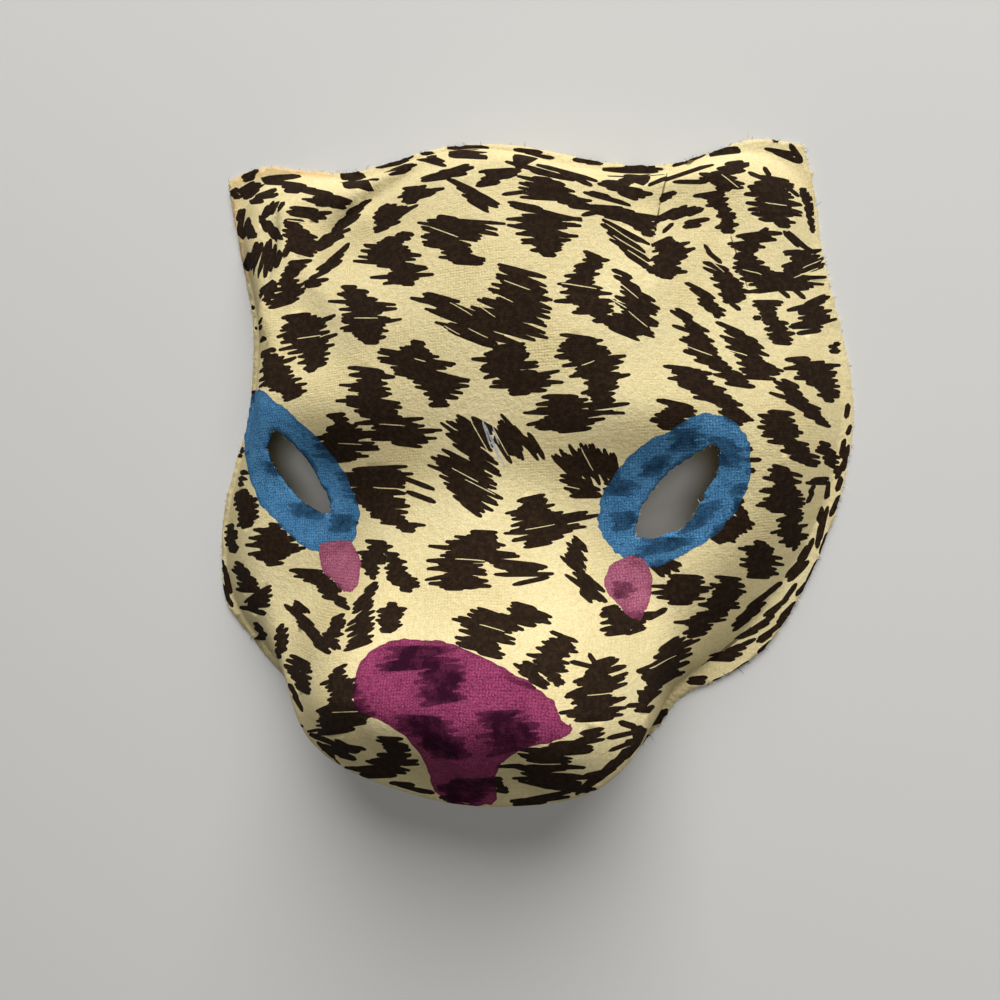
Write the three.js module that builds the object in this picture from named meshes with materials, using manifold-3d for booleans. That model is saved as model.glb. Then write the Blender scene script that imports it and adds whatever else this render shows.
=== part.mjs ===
// A cheetah face mask: one moulded shell of stiffened flannel, lying on its rim, face up.
// Millimetres. X runs to the viewer's right, Y up the face towards the ears, Z out of the face.
// The origin is under the middle of the mask, on the plane that the rim rests on.
import * as THREE from 'three';
import { mergeVertices } from 'three/addons/utils/BufferGeometryUtils.js';
import Module from 'manifold-3d';

const CLOTH_THICKNESS = 1.5;

// Rim outline, clockwise, in two runs that meet in the sharp ear tips.
const LEFT_EAR_TIP = [-106.5, 96];
const RIGHT_EAR_TIP = [88, 101];
const CROWN_EDGE = [
  [-93.5, 100.5], [-77.5, 99], [-60.5, 97.5], [-47.5, 100], [-32.5, 104], [-16.5, 105.5],
  [-0.5, 104.5], [14.5, 101], [30.5, 97.5], [46.5, 96.5], [59.5, 99.5], [73.5, 103.5],
];
const RIGHT_CHEEK_EDGE = [
  [91.5, 88.5], [95.5, 67.5], [100.5, 49.5], [105.5, 29.5], [106.4, 11.5],
  [103.5, -9.5], [96.5, -31.5], [86.5, -51.5], [74.5, -62.5], [61.5, -70.5],
];
const CHIN_EDGE = [
  [55.5, -79.5], [48.5, -88.5], [37.5, -96.5], [19.5, -102.5],
  [-0.5, -105.5], [-24.5, -102.5], [-45.5, -95.5], [-60.5, -86.5],
];
const LEFT_CHEEK_EDGE = [
  [-74.5, -77.5], [-88.5, -64.5], [-97.5, -54.5], [-100.5, -38.5], [-100.5, -22.5], [-97.5, -6.5],
  [-93.5, 9.5], [-92.5, 27.5], [-93.5, 45.5], [-97.5, 61.5], [-102.5, 79.5],
];

// Everything inside the rim is measured on rays from this point between the eyes.
const FACE_CENTRE = { x: 0, y: -4 };

// Round the face: direction in degrees, width of the flat rim, width and height of the side wall.
const SIDE_WALLS = [
  { place: 'crown', angle: 90, rim: 4, width: 12, height: 24 },
  { place: 'right of the crown', angle: 66, rim: 3, width: 15, height: 18 },
  { place: 'right ear', angle: 50, rim: 2, width: 20, height: 9 },
  { place: 'under the right ear', angle: 37, rim: 2, width: 26, height: 12 },
  { place: 'right temple', angle: 11, rim: 3, width: 28, height: 20 },
  { place: 'right cheekbone', angle: -9, rim: 5, width: 28, height: 21 },
  { place: 'right cheek', angle: -29, rim: 8, width: 30, height: 18 },
  { place: 'right jaw', angle: -42, rim: 7, width: 21, height: 20 },
  { place: 'right mouth corner', angle: -49, rim: 1.5, width: 5, height: 30 },
  { place: 'right of the chin', angle: -57, rim: 1.5, width: 5.5, height: 29 },
  { place: 'chin', angle: -90, rim: 1.5, width: 4, height: 30 },
  { place: 'left mouth corner', angle: -126, rim: 2, width: 6, height: 27 },
  { place: 'left jaw', angle: -141, rim: 3, width: 20, height: 17 },
  { place: 'left cheek', angle: -158, rim: 2, width: 28, height: 17 },
  { place: 'left cheekbone', angle: -178, rim: 2, width: 22, height: 20 },
  { place: 'left temple', angle: 168, rim: 2.5, width: 18, height: 24 },
  { place: 'under the left ear', angle: 150, rim: 3, width: 22, height: 18 },
  { place: 'left ear', angle: 137, rim: 2.5, width: 24, height: 9 },
  { place: 'left of the crown', angle: 118, rim: 3, width: 14, height: 15 },
];
const MIDDLE_HEIGHT = 20;
const WALL_FADE_START = 0.35;
const WALL_FADE_LENGTH = 0.45;

// Soft mounds and hollows of the face: centre, reach along X and Y, height.
const MOUNDS = [
  { place: 'forehead', x: 0, y: 33.5, reachX: 58, reachY: 52, height: 16.5 },
  { place: 'left brow', x: -44, y: 13.5, reachX: 20, reachY: 12, height: 3.5 },
  { place: 'right brow', x: 44, y: 13.5, reachX: 20, reachY: 12, height: 3.5 },
  { place: 'left eye socket', x: -58, y: -8.5, reachX: 18, reachY: 16, height: -4.5 },
  { place: 'right eye socket', x: 58, y: -8.5, reachX: 18, reachY: 16, height: -4.5 },
  { place: 'bridge of the nose', x: 0, y: -26.5, reachX: 15, reachY: 30, height: 5 },
  { place: 'nose', x: -1, y: -70.5, reachX: 28, reachY: 20, height: 7 },
  { place: 'left jowl', x: -36, y: -76.5, reachX: 20, reachY: 18, height: 4 },
  { place: 'right jowl', x: 38, y: -76.5, reachX: 20, reachY: 18, height: 6 },
];
const MUZZLE = {
  height: 26,
  startY: -2.5,
  rampLength: 60,
  narrowHalfWidth: 34,
  widening: 22,
  wideningStartY: -8.5,
  wideningLength: 52,
  flatShare: 0.4,
  sideShare: 0.75,
  chinStartY: -65,
  chinLength: 40,
  chinDrop: 0.9,
};

// Eye holes: middle, length from tip to tip, tilt of the long axis, bulge of each side, and skew,
// which makes the outer end blunter than the inner one.
const EYE_HOLES = [
  { x: -60.6, y: -7.1, length: 34.2, tilt: -51.5, upperBulge: 3.3, lowerBulge: 8.4, skew: 0.2 },
  { x: 55.3, y: -7.8, length: 35.4, tilt: 52.2, upperBulge: 5.5, lowerBulge: 8.1, skew: 0 },
];
const EYE_ROUNDNESS = 0.75;
const EYE_STEPS = 14;

const STEPS_PER_EDGE_POINT = 2;
const WALL_RINGS = [0.12, 0.28, 0.45, 0.65, 0.85, 1];
const FACE_RINGS = 10;
const TABLE_SIZE = 720;
const RIM_BLUR_DEG = 5;
const WALL_BLUR_DEG = 7;

function smooth(value) {
  const t = Math.min(Math.max(value, 0), 1);
  return t * t * (3 - 2 * t);
}

function curveThrough(points, stepsPerPoint) {
  const curve = new THREE.CatmullRomCurve3(
    points.map(([x, y]) => new THREE.Vector3(x, y, 0)), false, 'catmullrom', 0.5);
  return curve.getPoints((points.length - 1) * stepsPerPoint);
}

function rimPoints(stepsPerPoint) {
  const crown = curveThrough([LEFT_EAR_TIP, ...CROWN_EDGE, RIGHT_EAR_TIP], stepsPerPoint);
  const below = curveThrough(
    [RIGHT_EAR_TIP, ...RIGHT_CHEEK_EDGE, ...CHIN_EDGE, ...LEFT_CHEEK_EDGE, LEFT_EAR_TIP],
    stepsPerPoint);
  return [...crown.slice(0, -1), ...below.slice(0, -1)].reverse();
}

function polar(x, y) {
  const dx = x - FACE_CENTRE.x;
  const dy = y - FACE_CENTRE.y;
  return { angle: THREE.MathUtils.radToDeg(Math.atan2(dy, dx)), radius: Math.hypot(dx, dy) };
}

// A table of values round the face, read by angle, from points that may be unevenly spaced.
function roundTable(samples) {
  const sorted = [...samples].sort((a, b) => a.angle - b.angle);
  const first = sorted[0];
  const last = sorted[sorted.length - 1];
  const ring = [
    { angle: last.angle - 360, value: last.value },
    ...sorted,
    { angle: first.angle + 360, value: first.value },
  ];
  const table = [];
  let k = 0;
  for (let i = 0; i < TABLE_SIZE; i++) {
    const angle = -180 + i * 360 / TABLE_SIZE;
    while (ring[k + 1].angle < angle) k++;
    const a = ring[k];
    const b = ring[k + 1];
    table.push(THREE.MathUtils.lerp(a.value, b.value, (angle - a.angle) / (b.angle - a.angle)));
  }
  return table;
}

function blurred(table, degrees) {
  const spread = degrees * TABLE_SIZE / 360;
  const reach = Math.ceil(3 * spread);
  return table.map((_, i) => {
    let sum = 0;
    let weights = 0;
    for (let k = -reach; k <= reach; k++) {
      const weight = Math.exp(-0.5 * (k / spread) ** 2);
      sum += weight * table[(i + k + TABLE_SIZE) % TABLE_SIZE];
      weights += weight;
    }
    return sum / weights;
  });
}

function read(table, angle) {
  const place = ((angle + 180) / 360 * TABLE_SIZE + TABLE_SIZE) % TABLE_SIZE;
  const i = Math.floor(place);
  return THREE.MathUtils.lerp(table[i], table[(i + 1) % TABLE_SIZE], place - i);
}

const wallTable = (key) => blurred(
  roundTable(SIDE_WALLS.map((wall) => ({ angle: wall.angle, value: wall[key] }))), WALL_BLUR_DEG);
const rimRadius = roundTable(rimPoints(24).map(({ x, y }) => {
  const { angle, radius } = polar(x, y);
  return { angle, value: radius };
}));
const softRimRadius = blurred(rimRadius, RIM_BLUR_DEG)
  .map((radius, i) => Math.min(radius, rimRadius[i]));
const rimWidth = wallTable('rim');
const wallWidth = wallTable('width');
const wallHeight = wallTable('height');

function muzzleHeight(x, y) {
  const m = MUZZLE;
  const half = m.narrowHalfWidth + m.widening * smooth((m.wideningStartY - y) / m.wideningLength);
  const side = 1 - smooth((Math.abs(x + 1) / half - m.flatShare) / m.sideShare);
  const ramp = smooth((m.startY - y) / m.rampLength);
  const chin = 1 - m.chinDrop * smooth((m.chinStartY - y) / m.chinLength);
  return m.height * side * ramp * chin;
}

function faceHeight(x, y) {
  let height = muzzleHeight(x, y);
  for (const m of MOUNDS) {
    height += m.height * Math.exp(-(((x - m.x) / m.reachX) ** 2) - ((y - m.y) / m.reachY) ** 2);
  }
  return height;
}

// Height of the front of the cloth above the plane of the rim.
function frontHeight(x, y) {
  const { angle, radius } = polar(x, y);
  const foot = read(softRimRadius, angle) - read(rimWidth, angle);
  const up = Math.min(Math.max((foot - radius) / read(wallWidth, angle), 0), 1);
  const fade = smooth((radius / read(rimRadius, angle) - WALL_FADE_START) / WALL_FADE_LENGTH);
  const base = THREE.MathUtils.lerp(MIDDLE_HEIGHT, read(wallHeight, angle), fade);
  return CLOTH_THICKNESS + Math.sin(Math.PI / 2 * up) * (base + faceHeight(x, y));
}

function frontNormal(x, y) {
  const step = 0.25;
  const slopeX = (frontHeight(x + step, y) - frontHeight(x - step, y)) / (2 * step);
  const slopeY = (frontHeight(x, y + step) - frontHeight(x, y - step)) / (2 * step);
  return new THREE.Vector3(-slopeX, -slopeY, 1).normalize();
}

// Rings of the shell from the rim to the middle: the flat rim, the wall, then the face.
function shellRings() {
  const rim = rimPoints(STEPS_PER_EDGE_POINT).map(({ x, y }) => ({ x, y, ...polar(x, y) }));
  const ringAt = (radiusAt, flat) => rim.map((point) => {
    const radius = radiusAt(point);
    const angle = THREE.MathUtils.degToRad(point.angle);
    return {
      x: FACE_CENTRE.x + radius * Math.cos(angle),
      y: FACE_CENTRE.y + radius * Math.sin(angle),
      flat,
    };
  });
  const foot = ({ angle }) => read(softRimRadius, angle) - read(rimWidth, angle);
  const shoulder = (point) => foot(point) - read(wallWidth, point.angle);
  return [
    ringAt((point) => point.radius, true),
    ringAt(foot, true),
    ...WALL_RINGS.map((up) => ringAt((p) => foot(p) - up * read(wallWidth, p.angle), false)),
    ...Array.from({ length: FACE_RINGS - 1 }, (_, k) =>
      ringAt((point) => shoulder(point) * (1 - (k + 1) / FACE_RINGS), false)),
  ];
}

function shellGeometry() {
  const rings = shellRings();
  const count = rings[0].length;
  const positions = [];
  const indices = [];
  for (const side of ['front', 'back']) {
    for (const point of [...rings.flat(), { ...FACE_CENTRE, flat: false }]) {
      const height = point.flat ? CLOTH_THICKNESS : frontHeight(point.x, point.y);
      const position = new THREE.Vector3(point.x, point.y, height);
      if (side === 'back') {
        const normal = point.flat ? new THREE.Vector3(0, 0, 1) : frontNormal(point.x, point.y);
        position.addScaledVector(normal, -CLOTH_THICKNESS);
      }
      positions.push(...position);
    }
  }
  const backStart = rings.length * count + 1;
  const centre = rings.length * count;
  for (let ring = 0; ring < rings.length; ring++) {
    for (let i = 0; i < count; i++) {
      const j = (i + 1) % count;
      const a = ring * count + i;
      const b = ring * count + j;
      if (ring < rings.length - 1) {
        const c = b + count;
        const d = a + count;
        indices.push(a, b, c, a, c, d);
        indices.push(backStart + a, backStart + c, backStart + b);
        indices.push(backStart + a, backStart + d, backStart + c);
      } else {
        indices.push(a, b, centre);
        indices.push(backStart + b, backStart + a, backStart + centre);
      }
      if (ring === 0) indices.push(backStart + a, backStart + b, b, backStart + a, b, a);
    }
  }
  const geometry = new THREE.BufferGeometry();
  geometry.setAttribute('position', new THREE.Float32BufferAttribute(positions, 3));
  geometry.setIndex(indices);
  return geometry;
}

// A leaf shape: two bulging sides between two tips, set at a tilt.
function eyeHoleShape({ x, y, length, tilt, upperBulge, lowerBulge, skew }) {
  const side = (bulge, share) => new THREE.Vector2(
    (share - 0.5) * length,
    bulge * Math.sin(Math.PI * share) ** EYE_ROUNDNESS * (1 + skew * Math.cos(Math.PI * share)));
  const points = [];
  for (let i = 0; i < EYE_STEPS; i++) points.push(side(-lowerBulge, i / EYE_STEPS));
  for (let i = EYE_STEPS; i > 0; i--) points.push(side(upperBulge, i / EYE_STEPS));
  const turn = THREE.MathUtils.degToRad(tilt);
  return new THREE.Shape(points.map((point) =>
    point.rotateAround(new THREE.Vector2(), turn).add(new THREE.Vector2(x, y))));
}

function eyeCutter(hole) {
  const depth = 80;
  const cutter = new THREE.ExtrudeGeometry(eyeHoleShape(hole), { depth, bevelEnabled: false });
  cutter.translate(0, 0, -10);
  return cutter;
}

const wasm = await Module();
wasm.setup();

function toSolid(geometry) {
  geometry.deleteAttribute('normal');
  geometry.deleteAttribute('uv');
  const merged = mergeVertices(geometry, 1e-4);
  return new wasm.Manifold(new wasm.Mesh({
    numProp: 3,
    vertProperties: new Float32Array(merged.attributes.position.array),
    triVerts: new Uint32Array(merged.index.array),
  }));
}

function toGeometry(solid) {
  const mesh = solid.getMesh();
  const geometry = new THREE.BufferGeometry();
  geometry.setAttribute('position', new THREE.BufferAttribute(mesh.vertProperties, 3));
  geometry.setIndex(new THREE.BufferAttribute(mesh.triVerts, 1));
  geometry.computeVertexNormals();
  return geometry;
}

function maskShell() {
  let shell = toSolid(shellGeometry());
  for (const hole of EYE_HOLES) shell = shell.subtract(toSolid(eyeCutter(hole)));
  const flannel = new THREE.MeshStandardMaterial({ color: '#e6d79b', roughness: 0.95, metalness: 0 });
  const mesh = new THREE.Mesh(toGeometry(shell), flannel);
  mesh.name = 'mask_shell';
  return mesh;
}

const group = new THREE.Group();
group.add(maskShell());

export default group;
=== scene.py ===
import math

import bpy
import numpy as np
from mathutils import Matrix, Vector
from mathutils.geometry import delaunay_2d_cdt
from mathutils.kdtree import KDTree


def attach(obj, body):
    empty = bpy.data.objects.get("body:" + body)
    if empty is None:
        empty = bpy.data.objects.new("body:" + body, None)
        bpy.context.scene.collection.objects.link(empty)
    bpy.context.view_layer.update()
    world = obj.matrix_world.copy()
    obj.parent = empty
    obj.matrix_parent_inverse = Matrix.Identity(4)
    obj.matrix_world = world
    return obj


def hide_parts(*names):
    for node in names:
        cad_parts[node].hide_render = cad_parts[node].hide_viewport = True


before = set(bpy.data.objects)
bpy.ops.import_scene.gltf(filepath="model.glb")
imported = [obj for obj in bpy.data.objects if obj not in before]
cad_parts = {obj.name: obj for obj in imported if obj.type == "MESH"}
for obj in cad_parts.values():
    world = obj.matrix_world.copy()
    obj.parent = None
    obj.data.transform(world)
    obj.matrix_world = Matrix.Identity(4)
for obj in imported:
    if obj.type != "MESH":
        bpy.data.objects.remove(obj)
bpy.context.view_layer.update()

chance = np.random.default_rng(11)

# Lengths are in millimetres in the frame's own axes until a mesh is written, unless a comment says
# pixels or metres.
MM = 0.001
CLOTH = 1.5
FAR = 1e9

# Rim of the mask, seen from the front.
LEFT_EAR_TIP = (-106.5, 96)
RIGHT_EAR_TIP = (88, 101)
CROWN_EDGE = [
    (-93.5, 100.5), (-77.5, 99), (-60.5, 97.5), (-47.5, 100), (-32.5, 104), (-16.5, 105.5),
    (-0.5, 104.5), (14.5, 101), (30.5, 97.5), (46.5, 96.5), (59.5, 99.5), (73.5, 103.5)]
RIGHT_CHEEK_EDGE = [
    (91.5, 88.5), (95.5, 67.5), (100.5, 49.5), (105.5, 29.5), (106.5, 11.5),
    (103.5, -9.5), (96.5, -31.5), (86.5, -51.5), (74.5, -62.5), (61.5, -70.5)]
CHIN_EDGE = [
    (55.5, -79.5), (48.5, -88.5), (37.5, -96.5), (19.5, -102.5),
    (-0.5, -105.5), (-24.5, -102.5), (-45.5, -95.5), (-60.5, -86.5)]
LEFT_CHEEK_EDGE = [
    (-74.5, -77.5), (-88.5, -64.5), (-97.5, -54.5), (-100.5, -38.5), (-100.5, -22.5),
    (-97.5, -6.5), (-93.5, 9.5), (-92.5, 27.5), (-93.5, 45.5), (-97.5, 61.5), (-102.5, 79.5)]
RIM_STEPS = 24
CENTRE = (0.0, -4.0)

# Side wall by direction from the centre: angle, flat rim, run of the wall, height of the wall.
SIDE_WALLS = [
    (90, 4, 12, 24), (66, 3, 15, 18), (50, 2, 20, 9), (37, 2, 26, 12), (11, 3, 28, 20), (-9, 5, 28, 21),
    (-29, 8, 30, 18), (-42, 7, 21, 20), (-49, 1.5, 5, 30), (-57, 1.5, 5.5, 29), (-90, 1.5, 4, 30),
    (-126, 2, 6, 27), (-141, 3, 20, 17), (-158, 2, 28, 17), (-178, 2, 22, 20), (168, 2.5, 18, 24),
    (150, 3, 22, 18), (137, 2.5, 24, 9), (118, 3, 14, 15)]
MIDDLE_HEIGHT = 20
WALL_FADE_START = 0.35
WALL_FADE_LENGTH = 0.45
RIM_BLUR_DEG = 5
WALL_BLUR_DEG = 7

# Soft mounds on the face: x, y, reach across, reach up, height.
MOUNDS = [
    (0, 33.5, 58, 52, 16.5), (-44, 13.5, 20, 12, 3.5), (44, 13.5, 20, 12, 3.5), (-58, -8.5, 18, 16, -4.5),
    (58, -8.5, 18, 16, -4.5), (0, -26.5, 15, 30, 5), (-1, -70.5, 28, 20, 7), (-36, -76.5, 20, 18, 4),
    (38, -76.5, 20, 18, 6)]

# The muzzle: where its middle lies, its height, the ramp up to it, how it widens down the face, the
# shares of the half width that stay flat and that slope, and how far it drops at the chin.
MUZZLE_MIDDLE = -1
MUZZLE_HEIGHT = 26
RAMP_START = -2.5
RAMP_LENGTH = 60
NARROW_HALF_WIDTH = 34
WIDENING = 22
WIDENING_START = -8.5
WIDENING_LENGTH = 52
FLAT_SHARE = 0.4
SLOPE_SHARE = 0.75
CHIN_START = -65
CHIN_LENGTH = 40
CHIN_DROP = 0.9

# Ridges and valleys that the cloth has taken: line, height, half width to its left and to its
# right, length of the faded ends.
CREASES = [
    ([(-79, 85), (-75.6, 77.5), (-74.2, 66), (-75.5, 54), (-80, 42), (-84, 34)], 3.4, 8.0, 2.6, 9),
    ([(28, 90), (12, 92), (-2, 93.5), (-14, 92), (-26, 89.5), (-38.7, 84), (-48, 79.5), (-56, 73),
      (-64, 63)], -2.6, 4.5, 2.6, 12),
    ([(-40, 78), (-52, 70), (-60, 60)], 1.4, 5.0, 5.0, 8),
    ([(-1, -66), (4.5, -76), (7, -92)], 2.2, 3.0, 3.4, 9),
    ([(17, -72), (19, -84), (19, -94)], -1.4, 4.0, 4.0, 7),
    ([(-28, -68), (-22, -80), (-12, -92)], -1.2, 4.5, 4.5, 7),
    ([(28, 88), (40, 80), (45, 70)], -0.9, 4.0, 4.0, 8),
]

# Darts sewn from the edge: line, height of the lap on its left, and how far that lap fades.
DARTS = [
    ([(48.6, 90), (47.5, 82.8), (46.4, 76.5), (45.4, 68), (44, 58.4)], 0.8, 5.0),
    ([(66.9, 68.9), (72.5, 52.7), (75.4, 48.2), (80, 36.1)], 0.7, 5.0),
]
DART_EDGE = 0.25
# How far into its fade the lap already is at the dart's top and at its point.
DART_TOP = 0.3
DART_POINT = 0.15
SEAM_STEPS = 12

# The photograph's camera: its frame is 1000 pixels square, and the lens is in those pixels. The
# turn about the upright axis and the roll are in degrees.
FRAME = 1000
LENS = 755
YAW = 12.0
ROLL = 3.3
DISTANCE = 250.0
AIM = np.array([-0.5, -12.5, 0.0])


def smooth(t):
    t = np.clip(t, 0, 1)
    return t * t * (3 - 2 * t)


def curve_through(points, steps):
    p = np.array(points, float)
    p = np.vstack([2 * p[0] - p[1], p, 2 * p[-1] - p[-2]])
    t = (np.arange(steps) / steps)[:, None]
    runs = []
    for a, b, c, d in zip(p, p[1:], p[2:], p[3:]):
        runs.append(0.5 * (2 * b + (c - a) * t + (2 * a - 5 * b + 4 * c - d) * t**2
                           + (3 * b - a - 3 * c + d) * t**3))
    return np.vstack(runs)


def closed_curve(points, steps):
    p = [tuple(q) for q in points]
    whole = curve_through([p[-1]] + p + p[:2], steps)
    return whole[steps:-steps]


def rim_points(steps):
    crown = curve_through([LEFT_EAR_TIP] + CROWN_EDGE + [RIGHT_EAR_TIP], steps)
    below = curve_through(
        [RIGHT_EAR_TIP] + RIGHT_CHEEK_EDGE + CHIN_EDGE + LEFT_CHEEK_EDGE + [LEFT_EAR_TIP], steps)
    return np.vstack([crown, below])[::-1]


# Tables by direction from the centre, half a degree apart.
TABLE = 720
ANGLES = -180 + np.arange(TABLE) * 360 / TABLE


def polar(x, y):
    return np.degrees(np.arctan2(y - CENTRE[1], x - CENTRE[0])), np.hypot(x - CENTRE[0], y - CENTRE[1])


def round_table(angle, value):
    order = np.argsort(angle)
    return np.interp(ANGLES, np.asarray(angle)[order], np.asarray(value)[order], period=360)


def blurred(table, degrees):
    spread = degrees * TABLE / 360
    reach = math.ceil(3 * spread)
    weight = np.exp(-0.5 * (np.arange(-reach, reach + 1) / spread) ** 2)
    return np.convolve(np.r_[table[-reach:], table, table[:reach]], weight / weight.sum(), "valid")


def read(table, angle):
    return np.interp(angle, ANGLES, table, period=360)


rim_angle, rim_radius = polar(*rim_points(RIM_STEPS).T)
RIM_RADIUS = round_table(rim_angle, rim_radius)
SOFT_RADIUS = np.minimum(blurred(RIM_RADIUS, RIM_BLUR_DEG), RIM_RADIUS)
wall_angle, *wall_sizes = np.array(SIDE_WALLS, float).T
FLAT_RIM, WALL_RUN, WALL_HEIGHT = (
    blurred(round_table(wall_angle, size), WALL_BLUR_DEG) for size in wall_sizes)


def muzzle(x, y):
    half_width = NARROW_HALF_WIDTH + WIDENING * smooth((WIDENING_START - y) / WIDENING_LENGTH)
    side = 1 - smooth((np.abs(x - MUZZLE_MIDDLE) / half_width - FLAT_SHARE) / SLOPE_SHARE)
    ramp = smooth((RAMP_START - y) / RAMP_LENGTH)
    chin = 1 - CHIN_DROP * smooth((CHIN_START - y) / CHIN_LENGTH)
    return MUZZLE_HEIGHT * side * ramp * chin


def beside(x, y, line):
    """Distance from a line, which side of it (left is positive), and the way along it and its length."""
    away, side, place = np.full(np.shape(x), FAR), np.zeros(np.shape(x)), np.zeros(np.shape(x))
    start = 0.0
    for (ax, ay), (bx, by) in zip(line, line[1:]):
        length = math.hypot(bx - ax, by - ay)
        ux, uy = (bx - ax) / length, (by - ay) / length
        along = np.clip((x - ax) * ux + (y - ay) * uy, 0, length)
        gap = np.hypot(x - ax - along * ux, y - ay - along * uy)
        nearer = gap < away
        away = np.where(nearer, gap, away)
        side = np.where(nearer, (y - ay) * ux - (x - ax) * uy, side)
        place = np.where(nearer, start + along, place)
        start += length
    return away, side, place, start


def creases(x, y):
    total = np.zeros(np.shape(x))
    for line, high, left_width, right_width, end in CREASES:
        away, side, place, length = beside(x, y, line)
        half_width = np.where(side > 0, left_width, right_width)
        ends = smooth(place / end) * smooth((length - place) / end)
        total = total + high * ends * np.exp(-(away / half_width) ** 2)
    for line, high, reach in DARTS:
        away, side, place, length = beside(x, y, line)
        lap = smooth(0.5 - side / (2 * DART_EDGE)) * np.exp(-(away / reach) ** 2)
        top = smooth(place / reach + DART_TOP)
        point = smooth((length - place) / reach + DART_POINT)
        total = total + high * lap * point * top
    return total


def height(x, y):
    """Height of the outer cloth over the surface that the rim lies on."""
    angle, radius = polar(x, y)
    foot = read(SOFT_RADIUS, angle) - read(FLAT_RIM, angle)
    up = np.clip((foot - radius) / read(WALL_RUN, angle), 0, 1)
    fade = smooth((radius / read(RIM_RADIUS, angle) - WALL_FADE_START) / WALL_FADE_LENGTH)
    base = MIDDLE_HEIGHT + (read(WALL_HEIGHT, angle) - MIDDLE_HEIGHT) * fade
    face = muzzle(x, y) + creases(x, y)
    for mx, my, across, along, high in MOUNDS:
        face = face + high * np.exp(-((x - mx) / across) ** 2 - ((y - my) / along) ** 2)
    return CLOTH + np.sin(np.pi / 2 * up) * (base + face)


# Camera: where a pixel of the photograph lies on the cloth.
def camera_axes():
    yaw, roll = math.radians(YAW), math.radians(ROLL)
    forward = np.array([-math.sin(yaw), 0, -math.cos(yaw)])
    level = np.array([math.cos(yaw), 0, -math.sin(yaw)])
    upright = np.array([0.0, 1, 0])
    right = level * math.cos(roll) + upright * math.sin(roll)
    up = upright * math.cos(roll) - level * math.sin(roll)
    return AIM - forward * DISTANCE, forward, right, up


EYE, FORWARD, RIGHT, UP = camera_axes()
HIGHEST = 70
RAY_STEPS = 160
RIM_SLACK = 0.5

# Heights on a fine grid, read between its points, to follow many rays at once.
GRID_EDGE = 130
GRID_STEP = 0.5
grid_line = np.arange(-GRID_EDGE, GRID_EDGE + GRID_STEP, GRID_STEP)
# Just short of the last point, so that every place has a next one.
GRID_LIMIT = len(grid_line) - 1.001
HEIGHTS = height(*np.meshgrid(grid_line, grid_line, indexing="ij"))


def quick_height(x, y):
    across = np.clip((x + GRID_EDGE) / GRID_STEP, 0, GRID_LIMIT)
    along = np.clip((y + GRID_EDGE) / GRID_STEP, 0, GRID_LIMIT)
    i, j = across.astype(int), along.astype(int)
    s, t = across - i, along - j
    near = HEIGHTS[i, j] * (1 - t) + HEIGHTS[i, j + 1] * t
    far = HEIGHTS[i + 1, j] * (1 - t) + HEIGHTS[i + 1, j + 1] * t
    return near * (1 - s) + far * s


def to_pixels(points):
    offset = np.atleast_2d(points) - EYE
    depth = offset @ FORWARD
    return np.c_[FRAME / 2 + LENS * (offset @ RIGHT) / depth, FRAME / 2 - LENS * (offset @ UP) / depth]


def on_cloth(pixels):
    """Points where the photograph's rays meet the cloth, and which of them do."""
    pixels = np.atleast_2d(np.array(pixels, float))
    ray = (FORWARD + RIGHT * ((pixels[:, :1] - FRAME / 2) / LENS)
           - UP * ((pixels[:, 1:2] - FRAME / 2) / LENS))
    first = (HIGHEST - EYE[2]) / ray[:, 2]
    last = -EYE[2] / ray[:, 2]
    reach = first[:, None] + (last - first)[:, None] * np.linspace(0, 1, RAY_STEPS)
    points = EYE + ray[:, None, :] * reach[:, :, None]
    over = points[:, :, 2] - quick_height(points[:, :, 0], points[:, :, 1])
    met = (over <= 0).any(axis=1)
    step = np.where(met, np.maximum(np.argmax(over <= 0, axis=1), 1), RAY_STEPS - 1)
    row = np.arange(len(pixels))
    before, after = over[row, step - 1], over[row, step]
    share = np.clip(before / np.where(np.abs(before - after) < 1e-9, 1, before - after), 0, 1)
    found = points[row, step - 1] + (points[row, step] - points[row, step - 1]) * share[:, None]
    angle, radius = polar(found[:, 0], found[:, 1])
    return found, met & (radius <= read(RIM_RADIUS, angle) + RIM_SLACK)


# The cloth laid flat: direction is kept, and distance is the way along the cloth from the centre.
SHARES = 260


def lookup(table, angle, share):
    row = (np.asarray(angle) + 180) / 360 * TABLE
    low = np.floor(row).astype(int)
    between = row - low
    column = np.clip(share, 0, 1) * (SHARES - 1)
    left = np.minimum(column.astype(int), SHARES - 2)
    within = column - left
    here, there = low % TABLE, (low + 1) % TABLE
    near = table[here, left] * (1 - within) + table[here, left + 1] * within
    far = table[there, left] * (1 - within) + table[there, left + 1] * within
    return near * (1 - between) + far * between


def flat_tables():
    share = np.linspace(0, 1, SHARES)
    turn = np.radians(ANGLES)[:, None]
    radius = RIM_RADIUS[:, None] * share
    high = height(CENTRE[0] + radius * np.cos(turn), CENTRE[1] + radius * np.sin(turn))
    steps = np.hypot(np.diff(radius, axis=1), np.diff(high, axis=1))
    length = np.concatenate([np.zeros((TABLE, 1)), np.cumsum(steps, axis=1)], axis=1)
    back = np.array([np.interp(share * row[-1], row, share) for row in length])
    return length, back


LENGTHS, BACK = flat_tables()
REACH = LENGTHS[:, -1]


def to_flat(x, y):
    angle, radius = polar(x, y)
    rim = read(RIM_RADIUS, angle)
    length = lookup(LENGTHS, angle, radius / rim) + np.maximum(radius - rim, 0)
    turn = np.radians(angle)
    return np.stack([length * np.cos(turn), length * np.sin(turn)], axis=-1)


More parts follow.
